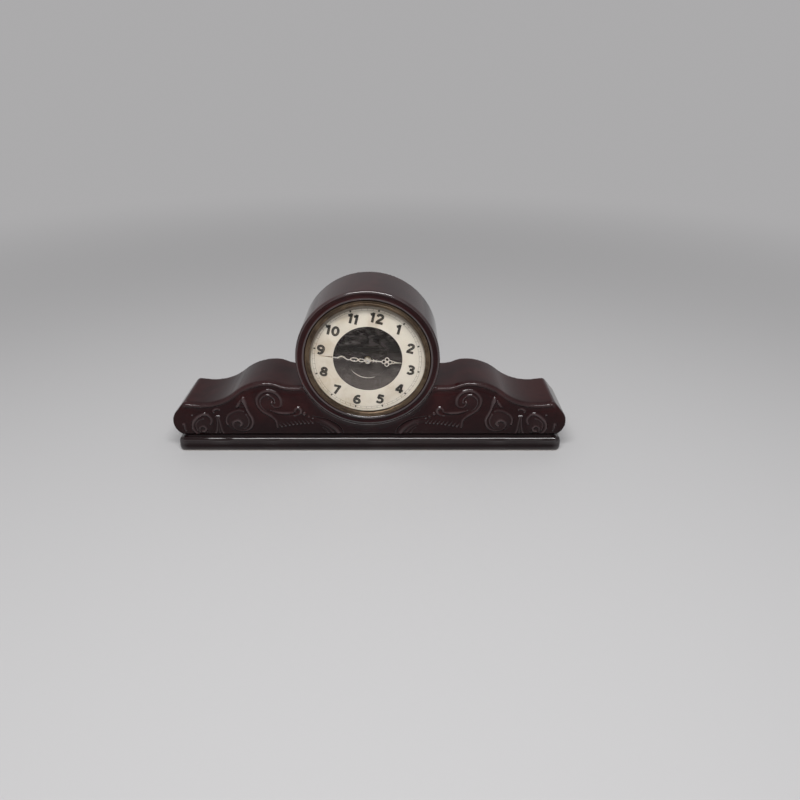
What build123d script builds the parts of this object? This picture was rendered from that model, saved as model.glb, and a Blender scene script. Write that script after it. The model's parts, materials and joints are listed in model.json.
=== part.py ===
from build123d import *
import os
from math import acos, atan2, cos, degrees, hypot, pi, radians, sin, sqrt

# Tambour mantel clock: a slip-cast ceramic case, open underneath, carries a round one-day
# movement in a tin can behind a domed glass. Millimetres, +Z up, +X to the right of the
# dial, which faces -Y. The origin is under the middle of the clock, on the table.

# Case outline, seen from the front. A rise is a height above the underside of the wings.
case_width = 400.0
case_depth = 60.0
case_wall = 6.0
plinth_inset = 3.0
plinth_proud = 3.0
plinth_height = 14.5
plinth_corner_radius = 7.0
plinth_top_round = 5.5
plinth_foot_round = 2.5
neck_height = 3.0
neck_inset = 10.0
neck_setback = 3.0
neck_corner_radius = 4.0
bulge_radius = 17.0
bulge_rise = 14.0
corner_inset = 14.5
corner_rise = 37.6
corner_round = 4.0
trough_inset = 32.0
trough_rise = 35.6
crest_offset = 30.5
crest_rise = 60.2
valley_offset = 7.5
valley_rise = 55.0
front_round = 2.5
back_round = 1.5

# Drum, with a rounded rim, a cove and a flat lip round its mouth, and a ledge inside the mouth
drum_height = 102.0
drum_proud = 5.0
lip_width = 9.0
lip_flat_width = 2.5
rim_radius = 2.2
rim_setback = 0.8
rim_run = 1.6
rim_fall = 0.5
seat_depth = 6.5
ledge_width = 3.5

# Tin can and the ring that draws it back into the case
can_wall = 0.6
can_clearance = 1.5
seat_clearance = 0.5
ring_overhang = 10.0
ring_seat = 7.0
ring_thickness = 1.0
clamp_count = 3
clamp_inset = 4.0
clamp_radius = 1.6
clamp_head_radius = 3.2
clamp_head_height = 2.0
clamp_bearing = 90.0
boss_radius = 3.0
boss_height = 3.0

# Dial, glass and bezel
movement_turn = 13.0
dial_thickness = 0.6
chapter_inner_radius = 33.4
chapter_thickness = 0.5
chapter_margin = 4.0
sight_height = 2.2
sight_width = 1.5
glass_thickness = 1.5
glass_rise = 7.0
glass_gap = 0.2
bezel_width = 4.5
bezel_rim = 1.8
bezel_lip = 1.4
bezel_round = 0.6
bezel_step_width = 1.6
bezel_step_depth = 1.0
dial_foot_count = 3
dial_foot_radius = 1.0
dial_foot_circle = 40.0
dial_foot_bearing = 90.0

# Plates and pillars
plate_radius = 47.0
plate_thickness = 1.6
plate_clearance = 7.9
pillar_length = 24.0
pillar_radius = 2.5
pillar_share = 0.894
pillar_count = 4
pillar_bearing = 45.0
dial_gap = 6.5
spacer_length = 3.8
spacer_radius = 2.8
spacer_sides = 6
can_screw_radius = 1.3
can_screw_reach = 6.0
can_screw_head_radius = 2.8
can_screw_head_height = 1.6

# Running fits
pivot_clearance = 0.05
pipe_clearance = 0.05
end_shake = 0.2
overrun = 1.0

# Tooth form, in shares of the module and of the pitch
wheel_addendum_share = 0.75
wheel_dedendum_share = 1.05
wheel_tip_share = 0.2
wheel_root_share = 0.44
leaf_addendum_share = 0.5
leaf_dedendum_share = 1.05
leaf_tip_share = 0.22
leaf_root_share = 0.4

# Going train: teeth, leaves, and the distance of each arbor from the one before, as a share of the
# plates' radius, with its bearing
great_teeth = 48
great_share = 0.447
great_bearing = 215.0
centre_leaves = 8
centre_teeth = 48
third_share = 0.345
third_bearing = 20.0
third_leaves = 6
third_teeth = 45
fourth_share = 0.289
fourth_bearing = 110.0
fourth_leaves = 6
fourth_teeth = 48
escape_share = 0.268
escape_bearing = 160.0
escape_leaves = 6
wheel_thickness = 1.0
rim_width = 2.2
spoke_count = 4
spoke_share = 0.2
hub_margin = 1.6
arbor_radius = 0.9
slim_arbor_radius = 0.7
pivot_radius = 0.5

# Depths of the train, measured back from the inner face of the front plate
great_level = 1.4
great_thickness = 1.6
ratchet_level = 3.2
ratchet_thickness = 1.4
mainspring_level = 5.5
mainspring_height = 11.0
centre_pinion_level = 0.6
centre_pinion_length = 3.2
centre_wheel_level = 19.4
third_pinion_level = 18.0
third_pinion_length = 3.4
third_wheel_level = 4.8
fourth_pinion_level = 3.4
fourth_pinion_length = 3.0
fourth_wheel_level = 13.0
escape_pinion_level = 11.8
escape_pinion_length = 3.4
escape_wheel_level = 8.4
lever_level = 6.4
lever_thickness = 1.4
pallet_pin_reach = 2.0
balance_level = 2.0
balance_thickness = 1.8
hairspring_level = 17.0
hairspring_height = 1.0

# Winding work
winding_radius = 2.2
ratchet_teeth = 24
ratchet_radius = 7.0
ratchet_tooth_depth = 1.1
ratchet_tip_share = 0.1
ratchet_root_share = 0.9
ratchet_lean_share = 0.4
click_circle = 10.6
click_bearing = 100.0
click_hub_radius = 1.7
click_pin_radius = 0.8
click_tooth = 4
click_gap = 0.25
click_nose_height = 1.3
click_nose_turn = 7.8
click_heel_gap = 0.1
click_head_radius = 1.4
click_head_height = 0.6
click_spring_thickness = 0.4
click_spring_length = 7.6
click_spring_offset = 2.45
click_spring_side = 24.0
click_spring_bearing = -22.0
click_foot_radius = 1.0
mainspring_inner_radius = 3.2
mainspring_tail_room = 3.6
mainspring_turns = 8
mainspring_thickness = 0.35
mainspring_tail_turn = 0.25
spring_facets = 20
key_stand = 4.0
key_hub_radius = 3.4
key_hub_length = 8.0
key_wing_span = 26.0
key_wing_radius = 5.2
key_wing_hole_radius = 2.6
key_wing_thickness = 2.0
key_wing_set = 8.0

# Escapement
escape_teeth = 15
escape_radius_share = 0.727
escape_tooth_depth = 1.8
escape_tip_share = 0.1
escape_root_share = 0.42
escape_lean_share = 0.12
lever_share = 0.234
lever_bearing = 190.0
pallet_span = 60.0
pallet_pin_radius = 0.25
pallet_gap = 0.2
lever_hub_radius = 1.8
lever_arm_width = 1.3
balance_share = 0.319
balance_bearing = 200.0
fork_half_gap = 1.5
fork_wall = 0.8
fork_depth = 1.1
impulse_radius = 3.0
impulse_pin_radius = 0.25
impulse_pin_length = 4.4
balance_room = 5.0
balance_rim = 1.6
balance_arm_width = 1.6
balance_hub_radius = 2.0
staff_radius = 0.8
staff_pivot_radius = 0.4
staff_pivot_length = 0.8
collet_radius = 2.0
pivot_screw_radius = 2.2
pivot_screw_stand = 1.6
pivot_screw_reach = 0.4
hairspring_inner_radius = 2.4
hairspring_pitch = 1.0
hairspring_turns = 5
hairspring_thickness = 0.25
stud_bearing = 270.0
stud_radius = 0.7
regulator_bearing = 150.0
regulator_swing = 25.0
regulator_ring_width = 1.6
regulator_arm_width = 1.6
regulator_thickness = 0.8
regulator_gap = 0.5
regulator_reach = 12.5
regulator_tip_radius = 0.8
regulator_tip_stand = 4.0
curb_pin_radius = 0.2
curb_gap = 0.15
slot_clearance = 0.6

# Motion work, measured forward from the front plate
cannon_leaves = 10
minute_teeth = 30
minute_leaves = 8
hour_teeth = 32
minute_share = 0.255
minute_bearing = 290.0
cannon_stand = 0.2
cannon_length = 2.0
minute_wheel_stand = 0.6
minute_pinion_length = 2.2
hour_wheel_stand = 2.6
minute_stud_radius = 0.8
minute_stud_head_radius = 1.6
minute_stud_head_height = 0.5
centre_arbor_radius = 1.0
centre_pipe_wall = 0.75
cannon_pipe_wall = 0.7
hour_pipe_wall = 0.6
dial_hole_margin = 0.6
friction_washer_radius = 3.0
friction_washer_thickness = 0.5
knob_stand = 6.0
knob_radius = 6.0
knob_thickness = 5.0
knob_flutes = 24
knob_flute_depth = 0.5
knob_flute_share = 0.5

# Hands
hour_angle = 95.0
minute_angle = 277.0
hour_hand_gap = 2.6
hand_thickness = 0.5
hand_gap = 0.8
nut_height = 1.2
nut_radius = 2.6
hour_boss_radius = 3.4
minute_boss_radius = 2.8
hour_length = 33.0
hour_stem_width = 1.4
spur_places = (4.8, 9.2)
spur_width = 4.4
spur_height = 2.6
clover_inner_place = 15.6
clover_side_place = 18.6
clover_side_spread = 2.5
clover_outer_place = 21.7
clover_leaf_radius = 2.3
clover_hole_radius = 1.35
bud_place = 24.7
bud_radius = 1.5
bud_hole_radius = 0.7
tip_width = 1.8
minute_length = 46.5
loop_place = 5.9
loop_length = 6.6
loop_width = 3.8
loop_wall = 1.0
crescent_place = 12.7
crescent_length = 8.2
crescent_width = 4.4
crescent_wall = 1.0
crescent_tooth_radius = 0.8
wave_width = 1.2
wave_foot = 16.2
wave_dip = 0.8
wave_dip_place = 18.4
wave_turn = 20.8
wave_swell = 1.7
wave_swell_place = 24.4
wave_fall_share = 0.8
wave_shoulder = 26.6
wave_end = 28.2
pointer_width = 1.2

# Radii that follow from the movement outward
can_radius = plate_radius + plate_clearance + can_wall
bore_radius = can_radius + can_clearance
seat_radius = bore_radius + ledge_width
drum_radius = seat_radius + lip_width
flange_radius = seat_radius - seat_clearance
bezel_inner_radius = flange_radius - bezel_width
glass_radius = flange_radius - bezel_rim
chapter_radius = flange_radius - chapter_margin
ring_inner_radius = bore_radius - ring_overhang
ring_outer_radius = bore_radius + ring_seat
clamp_circle = ring_inner_radius + clamp_inset
pillar_circle = pillar_share * plate_radius

# Depths from the front of the glass to the back of the case
front_stack = can_wall + dial_thickness + sight_height + glass_rise + glass_thickness
front_reach = drum_proud + front_stack - seat_depth
rear_reach = ring_thickness + clamp_head_height
mid_y = (front_reach - rear_reach) / 2
wing_front = mid_y - case_depth / 2
wing_back = mid_y + case_depth / 2
lip_front = wing_front - drum_proud
ledge_y = lip_front + seat_depth
dial_back = ledge_y - can_wall
dial_front = dial_back - dial_thickness
glass_edge = dial_front - sight_height
front_plate_front = dial_back + dial_gap
front_plate_back = front_plate_front + plate_thickness
back_plate_front = front_plate_back + pillar_length
back_plate_back = back_plate_front + plate_thickness
can_floor = back_plate_back + spacer_length
can_back = can_floor + can_wall
hour_hand_back = dial_front - hour_hand_gap
hour_hand_front = hour_hand_back - hand_thickness
minute_hand_back = hour_hand_front - hand_gap
minute_hand_front = minute_hand_back - hand_thickness
nut_front = minute_hand_front - nut_height

# Nested pipes on the dial axis
centre_pipe_bore = centre_arbor_radius + pipe_clearance
centre_pipe_radius = centre_pipe_bore + centre_pipe_wall
cannon_pipe_radius = centre_arbor_radius + cannon_pipe_wall
hour_pipe_bore = cannon_pipe_radius + pipe_clearance
hour_pipe_radius = hour_pipe_bore + hour_pipe_wall

# Distances between arbors, and what has to fit between them
great_distance = great_share * plate_radius
third_distance = third_share * plate_radius
fourth_distance = fourth_share * plate_radius
escape_distance = escape_share * plate_radius
lever_distance = lever_share * plate_radius
balance_distance = balance_share * plate_radius
minute_distance = minute_share * plate_radius
escape_radius = escape_radius_share * lever_distance
fork_reach = balance_distance - impulse_radius
balance_radius = balance_distance - balance_room

# Tooth modules: the distance between two arbors is shared out among their teeth
great_module = 2 * great_distance / (great_teeth + centre_leaves)
centre_module = 2 * third_distance / (centre_teeth + third_leaves)
third_module = 2 * fourth_distance / (third_teeth + fourth_leaves)
fourth_module = 2 * escape_distance / (fourth_teeth + escape_leaves)
minute_module = 2 * minute_distance / (cannon_leaves + minute_teeth)
hour_module = 2 * minute_distance / (minute_leaves + hour_teeth)


def step_from(place, distance, bearing):
    turn = radians(bearing)
    return (place[0] + distance * cos(turn), place[1] + distance * sin(turn))


# Arbor places, to the right and up from the dial axis, before the movement's turn
centre_place = (0, 0)
great_place = step_from(centre_place, great_distance, great_bearing)
third_place = step_from(centre_place, third_distance, third_bearing)
fourth_place = step_from(third_place, fourth_distance, fourth_bearing)
escape_place = step_from(fourth_place, escape_distance, escape_bearing)
lever_place = step_from(escape_place, lever_distance, lever_bearing)
balance_place = step_from(lever_place, balance_distance, balance_bearing)
minute_place = step_from(centre_place, minute_distance, minute_bearing)
pillar_places = [
    step_from(centre_place, pillar_circle, pillar_bearing + 360 * index / pillar_count)
    for index in range(pillar_count)
]

drum_plane = Plane((0, 0, drum_height))
dial_axis = Axis((0, 0, drum_height), (0, 1, 0))


def facing_plane(y, place=centre_place, turn=movement_turn):
    """Plane that faces the front at depth y, at a place in the turned movement."""
    swing = radians(movement_turn)
    right, up = place
    x = right * cos(swing) + up * sin(swing)
    z = drum_height - right * sin(swing) + up * cos(swing)
    slant = radians(turn)
    return Plane((x, y, z), x_dir=(cos(slant), 0, -sin(slant)), z_dir=(0, -1, 0))


def polar(radius, angle):
    return (radius * cos(angle), radius * sin(angle))


def tooth_points(teeth, tip_radius, root_radius, tip_share, root_share, phase, lean_share=0):
    """Outline of a toothed wheel, one tooth centred on the phase angle in degrees."""
    pitch = 2 * pi / teeth
    points = []
    for tooth in range(teeth):
        middle = radians(phase) + tooth * pitch
        tip = middle + lean_share * pitch
        points.append(polar(root_radius, middle - root_share * pitch / 2))
        points.append(polar(tip_radius, tip - tip_share * pitch / 2))
        points.append(polar(tip_radius, tip + tip_share * pitch / 2))
        points.append(polar(root_radius, middle + root_share * pitch / 2))
    return points


def wheel_points(teeth, module, phase):
    pitch_radius = teeth * module / 2
    tip_radius = pitch_radius + wheel_addendum_share * module
    root_radius = pitch_radius - wheel_dedendum_share * module
    return tooth_points(teeth, tip_radius, root_radius, wheel_tip_share, wheel_root_share, phase)


def leaf_points(leaves, module, towards):
    """Outline of a pinion with a gap facing the wheel that it meets."""
    pitch_radius = leaves * module / 2
    tip_radius = pitch_radius + leaf_addendum_share * module
    root_radius = pitch_radius - leaf_dedendum_share * module
    phase = towards + 180 / leaves
    return tooth_points(leaves, tip_radius, root_radius, leaf_tip_share, leaf_root_share, phase)


def window_points(inner_radius, outer_radius, half_turn):
    """Four corners of the opening between two spokes."""
    return [
        polar(inner_radius, -half_turn),
        polar(outer_radius, -half_turn),
        polar(outer_radius, half_turn),
        polar(inner_radius, half_turn),
    ]


def spoked_wheel(place, level, teeth, module, phase, bore):
    """Train wheel with its spokes, its front face at a depth behind the front plate."""
    inner_radius = bore + hub_margin
    outer_radius = teeth * module / 2 - rim_width
    half_turn = (1 - spoke_share) * pi / spoke_count
    opening = window_points(inner_radius, outer_radius * cos(half_turn), half_turn)
    with BuildPart() as wheel:
        with BuildSketch(facing_plane(front_plate_back + level, place)):
            Polygon(*wheel_points(teeth, module, phase))
            Circle(bore, mode=Mode.SUBTRACT)
            with PolarLocations(0, spoke_count):
                Polygon(*opening, mode=Mode.SUBTRACT)
        extrude(amount=-wheel_thickness)
    return wheel


def pivoted_pinion(place, level, length, leaves, module, towards, radius):
    """Arbor with its leaves cut from the solid and a pivot in each plate."""
    with BuildPart() as pinion:
        with BuildSketch(facing_plane(front_plate_back + level, place)):
            Polygon(*leaf_points(leaves, module, towards))
        extrude(amount=-length)
        with BuildSketch(facing_plane(front_plate_back + end_shake, place)):
            Circle(radius)
        extrude(amount=-(pillar_length - 2 * end_shake))
        with BuildSketch(facing_plane(front_plate_front, place)):
            Circle(pivot_radius)
        extrude(amount=-(pillar_length + 2 * plate_thickness))
    return pinion


def bar_points(start, end, width):
    """Four corners of a straight bar between two points."""
    run = atan2(end[1] - start[1], end[0] - start[0])
    side_x, side_y = polar(width / 2, run + pi / 2)
    return [
        (start[0] + side_x, start[1] + side_y),
        (start[0] - side_x, start[1] - side_y),
        (end[0] - side_x, end[1] - side_y),
        (end[0] + side_x, end[1] + side_y),
    ]


def spiral_radii(inner_radius, pitch, turns, tail_turn, end_radius):
    """Radius of a flat spring at each facet, with a tail that runs out to its anchor."""
    steps = round((turns + tail_turn) * spring_facets)
    radii = []
    for step in range(steps + 1):
        turned = step / spring_facets
        radius = inner_radius + pitch * min(turned, turns)
        if turned > turns:
            radius += (end_radius - radius) * ((turned - turns) / tail_turn) ** 2
        radii.append(radius)
    return radii


def strip_points(radii, thickness, end_bearing):
    """Both sides of a flat spring that ends at a bearing, as one closed outline."""
    last = len(radii) - 1
    outer, inner = [], []
    for step, radius in enumerate(radii):
        angle = radians(end_bearing) + (step - last) * 2 * pi / spring_facets
        outer.append(polar(radius + thickness / 2, angle))
        inner.append(polar(radius - thickness / 2, angle))
    return outer + inner[::-1]


def coil_gap(radii, thickness):
    """Least room between one turn of a spring and the next."""
    pairs = zip(radii, radii[spring_facets:])
    return min(after - before for before, after in pairs) * cos(pi / spring_facets) - thickness


def finish(builder, name):
    builder.part.label = name
    export_step(builder.part, f"parts/{name}.step")


os.makedirs("parts", exist_ok=True)

# Wing outline: a valley beside the drum, a crest, a long ogee to a trough, an upturned corner,
# then a shoulder that runs into the round bulge of the end
half_width = case_width / 2
body_base = plinth_height + neck_height
bulge_x = half_width - bulge_radius
bulge_z = body_base + bulge_rise
end_foot = (bulge_x + sqrt(bulge_radius**2 - bulge_rise**2), body_base)
end_tip = (half_width, bulge_z)
corner = (half_width - corner_inset, body_base + corner_rise)
trough = (half_width - trough_inset, body_base + trough_rise)
crest = (drum_radius + crest_offset, body_base + crest_rise)
valley = (drum_radius + valley_offset, body_base + valley_rise)
rise_middle = ((valley[0] + crest[0]) / 2, (valley[1] + crest[1]) / 2)
fall_middle = ((crest[0] + trough[0]) / 2, (crest[1] + trough[1]) / 2)
corner_reach = hypot(corner[0] - bulge_x, corner[1] - bulge_z)
corner_turn = atan2(corner[1] - bulge_z, corner[0] - bulge_x)
shoulder_turn = degrees(corner_turn - acos(bulge_radius / corner_reach))
shoulder = step_from((bulge_x, bulge_z), bulge_radius, shoulder_turn)
level_run = (1, 0)

with BuildSketch() as wing_outline:
    with BuildLine() as wing_edge:
        Line((0, valley[1]), valley)
        rise_foot = TangentArc(valley, rise_middle, tangent=level_run)
        TangentArc(rise_middle, crest, tangent=rise_foot % 1)
        fall_head = TangentArc(crest, fall_middle, tangent=level_run)
        TangentArc(fall_middle, trough, tangent=fall_head % 1)
        TangentArc(trough, corner, tangent=level_run)
        Line(corner, shoulder)
        ThreePointArc(shoulder, end_tip, end_foot)
        Line(end_foot, (0, body_base))
        mirror(about=Plane.YZ)
    make_face()
    for side in (-1, 1):
        tip = wing_outline.vertices().sort_by_distance((side * corner[0], corner[1]))[0]
        fillet(tip, corner_round)

neck_width = case_width - 2 * neck_inset
neck_depth = case_depth - 2 * neck_setback
with BuildPart() as ceramic_case:
    with BuildSketch(Plane((0, mid_y, 0))):
        RectangleRounded(
            case_width - 2 * plinth_inset,
            case_depth + 2 * plinth_proud,
            plinth_corner_radius,
        )
    extrude(amount=plinth_height)
    fillet(ceramic_case.edges().group_by(Axis.Z)[-1], plinth_top_round)
    fillet(ceramic_case.edges().group_by(Axis.Z)[0], plinth_foot_round)
    with BuildSketch(Plane((0, mid_y, plinth_height))):
        RectangleRounded(neck_width, neck_depth, neck_corner_radius)
    extrude(amount=neck_height)
    with BuildSketch(Plane.XZ.offset(-wing_front)):
        add(wing_outline.sketch)
    extrude(amount=-case_depth)
    wing_faces = ceramic_case.faces().filter_by(Axis.Y).sort_by(SortBy.AREA)[-2:].sort_by(Axis.Y)
    fillet(wing_faces[0].edges(), front_round)
    wing_faces = ceramic_case.faces().filter_by(Axis.Y).sort_by(SortBy.AREA)[-2:].sort_by(Axis.Y)
    fillet(wing_faces[1].edges(), back_round)
    with BuildSketch(drum_plane):
        with BuildLine():
            rim_side = (drum_radius, lip_front + rim_setback + rim_radius)
            rim_front = (drum_radius - rim_radius, lip_front + rim_setback)
            cove_start = (rim_front[0] - rim_run, rim_front[1] + rim_fall)
            cove_end = (seat_radius + lip_flat_width, lip_front)
            Polyline((0, lip_front), (0, wing_back), (drum_radius - back_round, wing_back))
            TangentArc(
                (drum_radius - back_round, wing_back),
                (drum_radius, wing_back - back_round),
                tangent=level_run,
            )
            Line((drum_radius, wing_back - back_round), rim_side)
            TangentArc(rim_side, rim_front, tangent=(0, -1))
            rim_inside = TangentArc(rim_front, cove_start, tangent=(-1, 0))
            TangentArc(cove_start, cove_end, tangent=rim_inside % 1)
            Line(cove_end, (0, lip_front))
        make_face()
    revolve(axis=dial_axis)
    with BuildSketch(Plane.XZ.offset(-(wing_front + case_wall))):
        add(wing_outline.sketch)
        offset(amount=-case_wall, mode=Mode.REPLACE)
        with Locations((0, drum_height)):
            Circle(drum_radius - case_wall)
    extrude(amount=-(case_depth - 2 * case_wall), mode=Mode.SUBTRACT)
    with BuildSketch(Plane((0, mid_y, -overrun))):
        Rectangle(neck_width - 2 * case_wall, neck_depth - 2 * case_wall)
    extrude(amount=body_base + case_wall + 2 * overrun, mode=Mode.SUBTRACT)
    with BuildSketch(facing_plane(lip_front - overrun)):
        Circle(bore_radius)
    extrude(amount=-(case_depth + drum_proud + 2 * overrun), mode=Mode.SUBTRACT)
    with BuildSketch(facing_plane(lip_front - overrun)):
        Circle(seat_radius)
    extrude(amount=-(seat_depth + overrun), mode=Mode.SUBTRACT)
finish(ceramic_case, "ceramic_case")

# Tin can: a cup with its flange on the ledge, holes for what passes out at the back and
# three threaded bosses for the clamp screws
clamp_places = [
    step_from(centre_place, clamp_circle, clamp_bearing + 360 * index / clamp_count)
    for index in range(clamp_count)
]
tip_arc = CenterArc(
    (0, 0), regulator_reach, regulator_bearing - regulator_swing, 2 * regulator_swing
)
winding_hole = winding_radius + slot_clearance
with BuildPart() as movement_can:
    with BuildSketch(facing_plane(dial_back)):
        Circle(flange_radius)
    extrude(amount=-can_wall)
    with BuildSketch(facing_plane(ledge_y)):
        Circle(can_radius)
    extrude(amount=-(can_back - ledge_y))
    with BuildSketch(facing_plane(dial_back)):
        Circle(can_radius - can_wall)
    extrude(amount=-(can_floor - dial_back), mode=Mode.SUBTRACT)
    for place in clamp_places:
        with BuildSketch(facing_plane(can_floor, place)):
            Circle(boss_radius)
        extrude(amount=-(can_wall + boss_height))
        with BuildSketch(facing_plane(can_floor, place)):
            Circle(clamp_radius)
        extrude(amount=-(can_wall + boss_height), mode=Mode.SUBTRACT)
    for place in pillar_places:
        with BuildSketch(facing_plane(can_floor, place)):
            Circle(can_screw_radius)
        extrude(amount=-can_wall, mode=Mode.SUBTRACT)
    with BuildSketch(facing_plane(can_floor)):
        Circle(centre_arbor_radius + slot_clearance)
    extrude(amount=-can_wall, mode=Mode.SUBTRACT)
    with BuildSketch(facing_plane(can_floor, great_place)):
        Circle(winding_hole)
    extrude(amount=-can_wall, mode=Mode.SUBTRACT)
    with BuildSketch(facing_plane(can_floor, balance_place)):
        SlotArc(tip_arc, 2 * (regulator_tip_radius + slot_clearance))
    extrude(amount=-can_wall, mode=Mode.SUBTRACT)
finish(movement_can, "movement_can")

with BuildPart() as rear_clamp_ring:
    with BuildSketch(facing_plane(wing_back)):
        Circle(ring_outer_radius)
        Circle(ring_inner_radius, mode=Mode.SUBTRACT)
        with Locations(*clamp_places):
            Circle(clamp_radius, mode=Mode.SUBTRACT)
    extrude(amount=-ring_thickness)
finish(rear_clamp_ring, "rear_clamp_ring")

with BuildPart() as clamp_screws:
    for place in clamp_places:
        with BuildSketch(facing_plane(can_back, place)):
            Circle(clamp_radius)
        extrude(amount=-(wing_back + ring_thickness - can_back))
        with BuildSketch(facing_plane(wing_back + ring_thickness, place)):
            Circle(clamp_head_radius)
        extrude(amount=-clamp_head_height)
finish(clamp_screws, "clamp_screws")

# Dial plate, the cream ring on it and the feet that hold it to the front plate
with BuildPart() as dial_plate:
    with BuildSketch(facing_plane(dial_front)):
        Circle(flange_radius)
        Circle(hour_pipe_radius + dial_hole_margin, mode=Mode.SUBTRACT)
    extrude(amount=-dial_thickness)
finish(dial_plate, "dial_plate")

with BuildPart() as chapter_ring:
    with BuildSketch(facing_plane(dial_front)):
        Circle(chapter_radius)
        Circle(chapter_inner_radius, mode=Mode.SUBTRACT)
    extrude(amount=chapter_thickness)
finish(chapter_ring, "chapter_ring")

foot_places = [
    step_from(centre_place, dial_foot_circle, dial_foot_bearing + 360 * index / dial_foot_count)
    for index in range(dial_foot_count)
]
with BuildPart() as dial_feet:
    for place in foot_places:
        with BuildSketch(facing_plane(dial_back, place)):
            Circle(dial_foot_radius)
        extrude(amount=-(dial_gap + plate_thickness))
finish(dial_feet, "dial_feet")

# Glass: a shell between two equal domes, its edge held between the sight ring and the bezel
with BuildPart() as sight_ring:
    with BuildSketch(facing_plane(dial_front)):
        Circle(glass_radius)
        Circle(glass_radius - sight_width, mode=Mode.SUBTRACT)
    extrude(amount=sight_height)
finish(sight_ring, "sight_ring")

glass_curve_radius = (glass_radius**2 + glass_rise**2) / (2 * glass_rise)
with BuildPart() as dial_glass:
    with BuildSketch(drum_plane):
        with BuildLine():
            inner_edge = (glass_radius, glass_edge)
            outer_edge = (glass_radius, glass_edge - glass_thickness)
            inner_top = (0, glass_edge - glass_rise)
            outer_top = (0, glass_edge - glass_rise - glass_thickness)
            TangentArc(inner_top, inner_edge, tangent=level_run)
            Line(inner_edge, outer_edge)
            TangentArc(outer_top, outer_edge, tangent=level_run)
            Line(outer_top, inner_top)
        make_face()
    revolve(axis=dial_axis)
finish(dial_glass, "dial_glass")

# Height of the outer dome where it passes under the bezel's lip
lip_height = sight_height + glass_thickness + glass_rise
lip_height -= glass_curve_radius - sqrt(glass_curve_radius**2 - bezel_inner_radius**2)
lip_back = dial_front - lip_height - glass_gap
bezel_step_radius = flange_radius - bezel_step_width
with BuildPart() as bezel_ring:
    with BuildSketch(drum_plane) as bezel_section:
        with BuildLine():
            Polyline(
                (bezel_inner_radius, lip_back),
                (bezel_inner_radius, lip_back - bezel_lip),
                (bezel_step_radius, lip_back - bezel_lip),
                (bezel_step_radius, lip_back - bezel_lip + bezel_step_depth),
                (flange_radius, lip_back - bezel_lip + bezel_step_depth),
                (flange_radius, dial_front),
                (glass_radius, dial_front),
                (glass_radius, lip_back),
                close=True,
            )
        make_face()
        fillet(bezel_section.vertices().group_by(Axis.Y)[0], bezel_round)
    revolve(axis=dial_axis)
finish(bezel_ring, "bezel_ring")

# Plates: each holed for the pivots, pipes and screws that it carries
slim_places = [third_place, fourth_place, escape_place, lever_place]
with BuildPart() as front_plate:
    with BuildSketch(facing_plane(front_plate_front)):
        Circle(plate_radius)
        with Locations(*slim_places):
            Circle(pivot_radius + pivot_clearance, mode=Mode.SUBTRACT)
        with Locations(*foot_places):
            Circle(dial_foot_radius, mode=Mode.SUBTRACT)
        with Locations(minute_place):
            Circle(minute_stud_radius, mode=Mode.SUBTRACT)
        with Locations(balance_place):
            Circle(pivot_screw_radius, mode=Mode.SUBTRACT)
        with Locations(great_place):
            Circle(winding_radius + pivot_clearance, mode=Mode.SUBTRACT)
        Circle(centre_pipe_radius + pivot_clearance, mode=Mode.SUBTRACT)
    extrude(amount=-plate_thickness)
finish(front_plate, "front_plate")

curb_circle = hairspring_inner_radius + hairspring_pitch * (
    hairspring_turns - (stud_bearing - regulator_bearing) / 360
)
curb_arc = CenterArc((0, 0), curb_circle, regulator_bearing - regulator_swing, 2 * regulator_swing)
curb_offset = hairspring_thickness / 2 + curb_gap + curb_pin_radius
curb_window = 2 * (curb_offset + curb_pin_radius + slot_clearance)
stud_circle = hairspring_inner_radius + hairspring_pitch * hairspring_turns
stud_circle += hairspring_thickness / 2 + stud_radius
stud_place = step_from(balance_place, stud_circle, stud_bearing)
with BuildPart() as back_plate:
    with BuildSketch(facing_plane(back_plate_front)):
        Circle(plate_radius)
        with Locations(*slim_places):
            Circle(pivot_radius + pivot_clearance, mode=Mode.SUBTRACT)
        with Locations(*pillar_places):
            Circle(can_screw_radius, mode=Mode.SUBTRACT)
        with Locations(stud_place):
            Circle(stud_radius, mode=Mode.SUBTRACT)
        with Locations(balance_place):
            Circle(pivot_screw_radius, mode=Mode.SUBTRACT)
        with Locations(great_place):
            Circle(winding_radius + pivot_clearance, mode=Mode.SUBTRACT)
        Circle(centre_pipe_radius + pivot_clearance, mode=Mode.SUBTRACT)
    extrude(amount=-plate_thickness)
    with BuildSketch(facing_plane(back_plate_front, balance_place)):
        SlotArc(curb_arc, curb_window)
    extrude(amount=-plate_thickness, mode=Mode.SUBTRACT)
finish(back_plate, "back_plate")

with BuildPart() as plate_pillars:
    for place in pillar_places:
        with BuildSketch(facing_plane(front_plate_back, place)):
            Circle(pillar_radius)
        extrude(amount=-pillar_length)
        with BuildSketch(facing_plane(back_plate_front - can_screw_reach, place)):
            Circle(can_screw_radius)
        extrude(amount=-can_screw_reach, mode=Mode.SUBTRACT)
finish(plate_pillars, "plate_pillars")

with BuildPart() as can_spacers:
    for place in pillar_places:
        with BuildSketch(facing_plane(back_plate_back, place)):
            RegularPolygon(spacer_radius, spacer_sides)
            Circle(can_screw_radius, mode=Mode.SUBTRACT)
        extrude(amount=-spacer_length)
finish(can_spacers, "can_spacers")

with BuildPart() as can_screws:
    for place in pillar_places:
        with BuildSketch(facing_plane(back_plate_front - can_screw_reach, place)):
            Circle(can_screw_radius)
        extrude(amount=-(can_screw_reach + plate_thickness + spacer_length + can_wall))
        with BuildSketch(facing_plane(can_back, place)):
            Circle(can_screw_head_radius)
        extrude(amount=-can_screw_head_height)
finish(can_screws, "can_screws")

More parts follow.
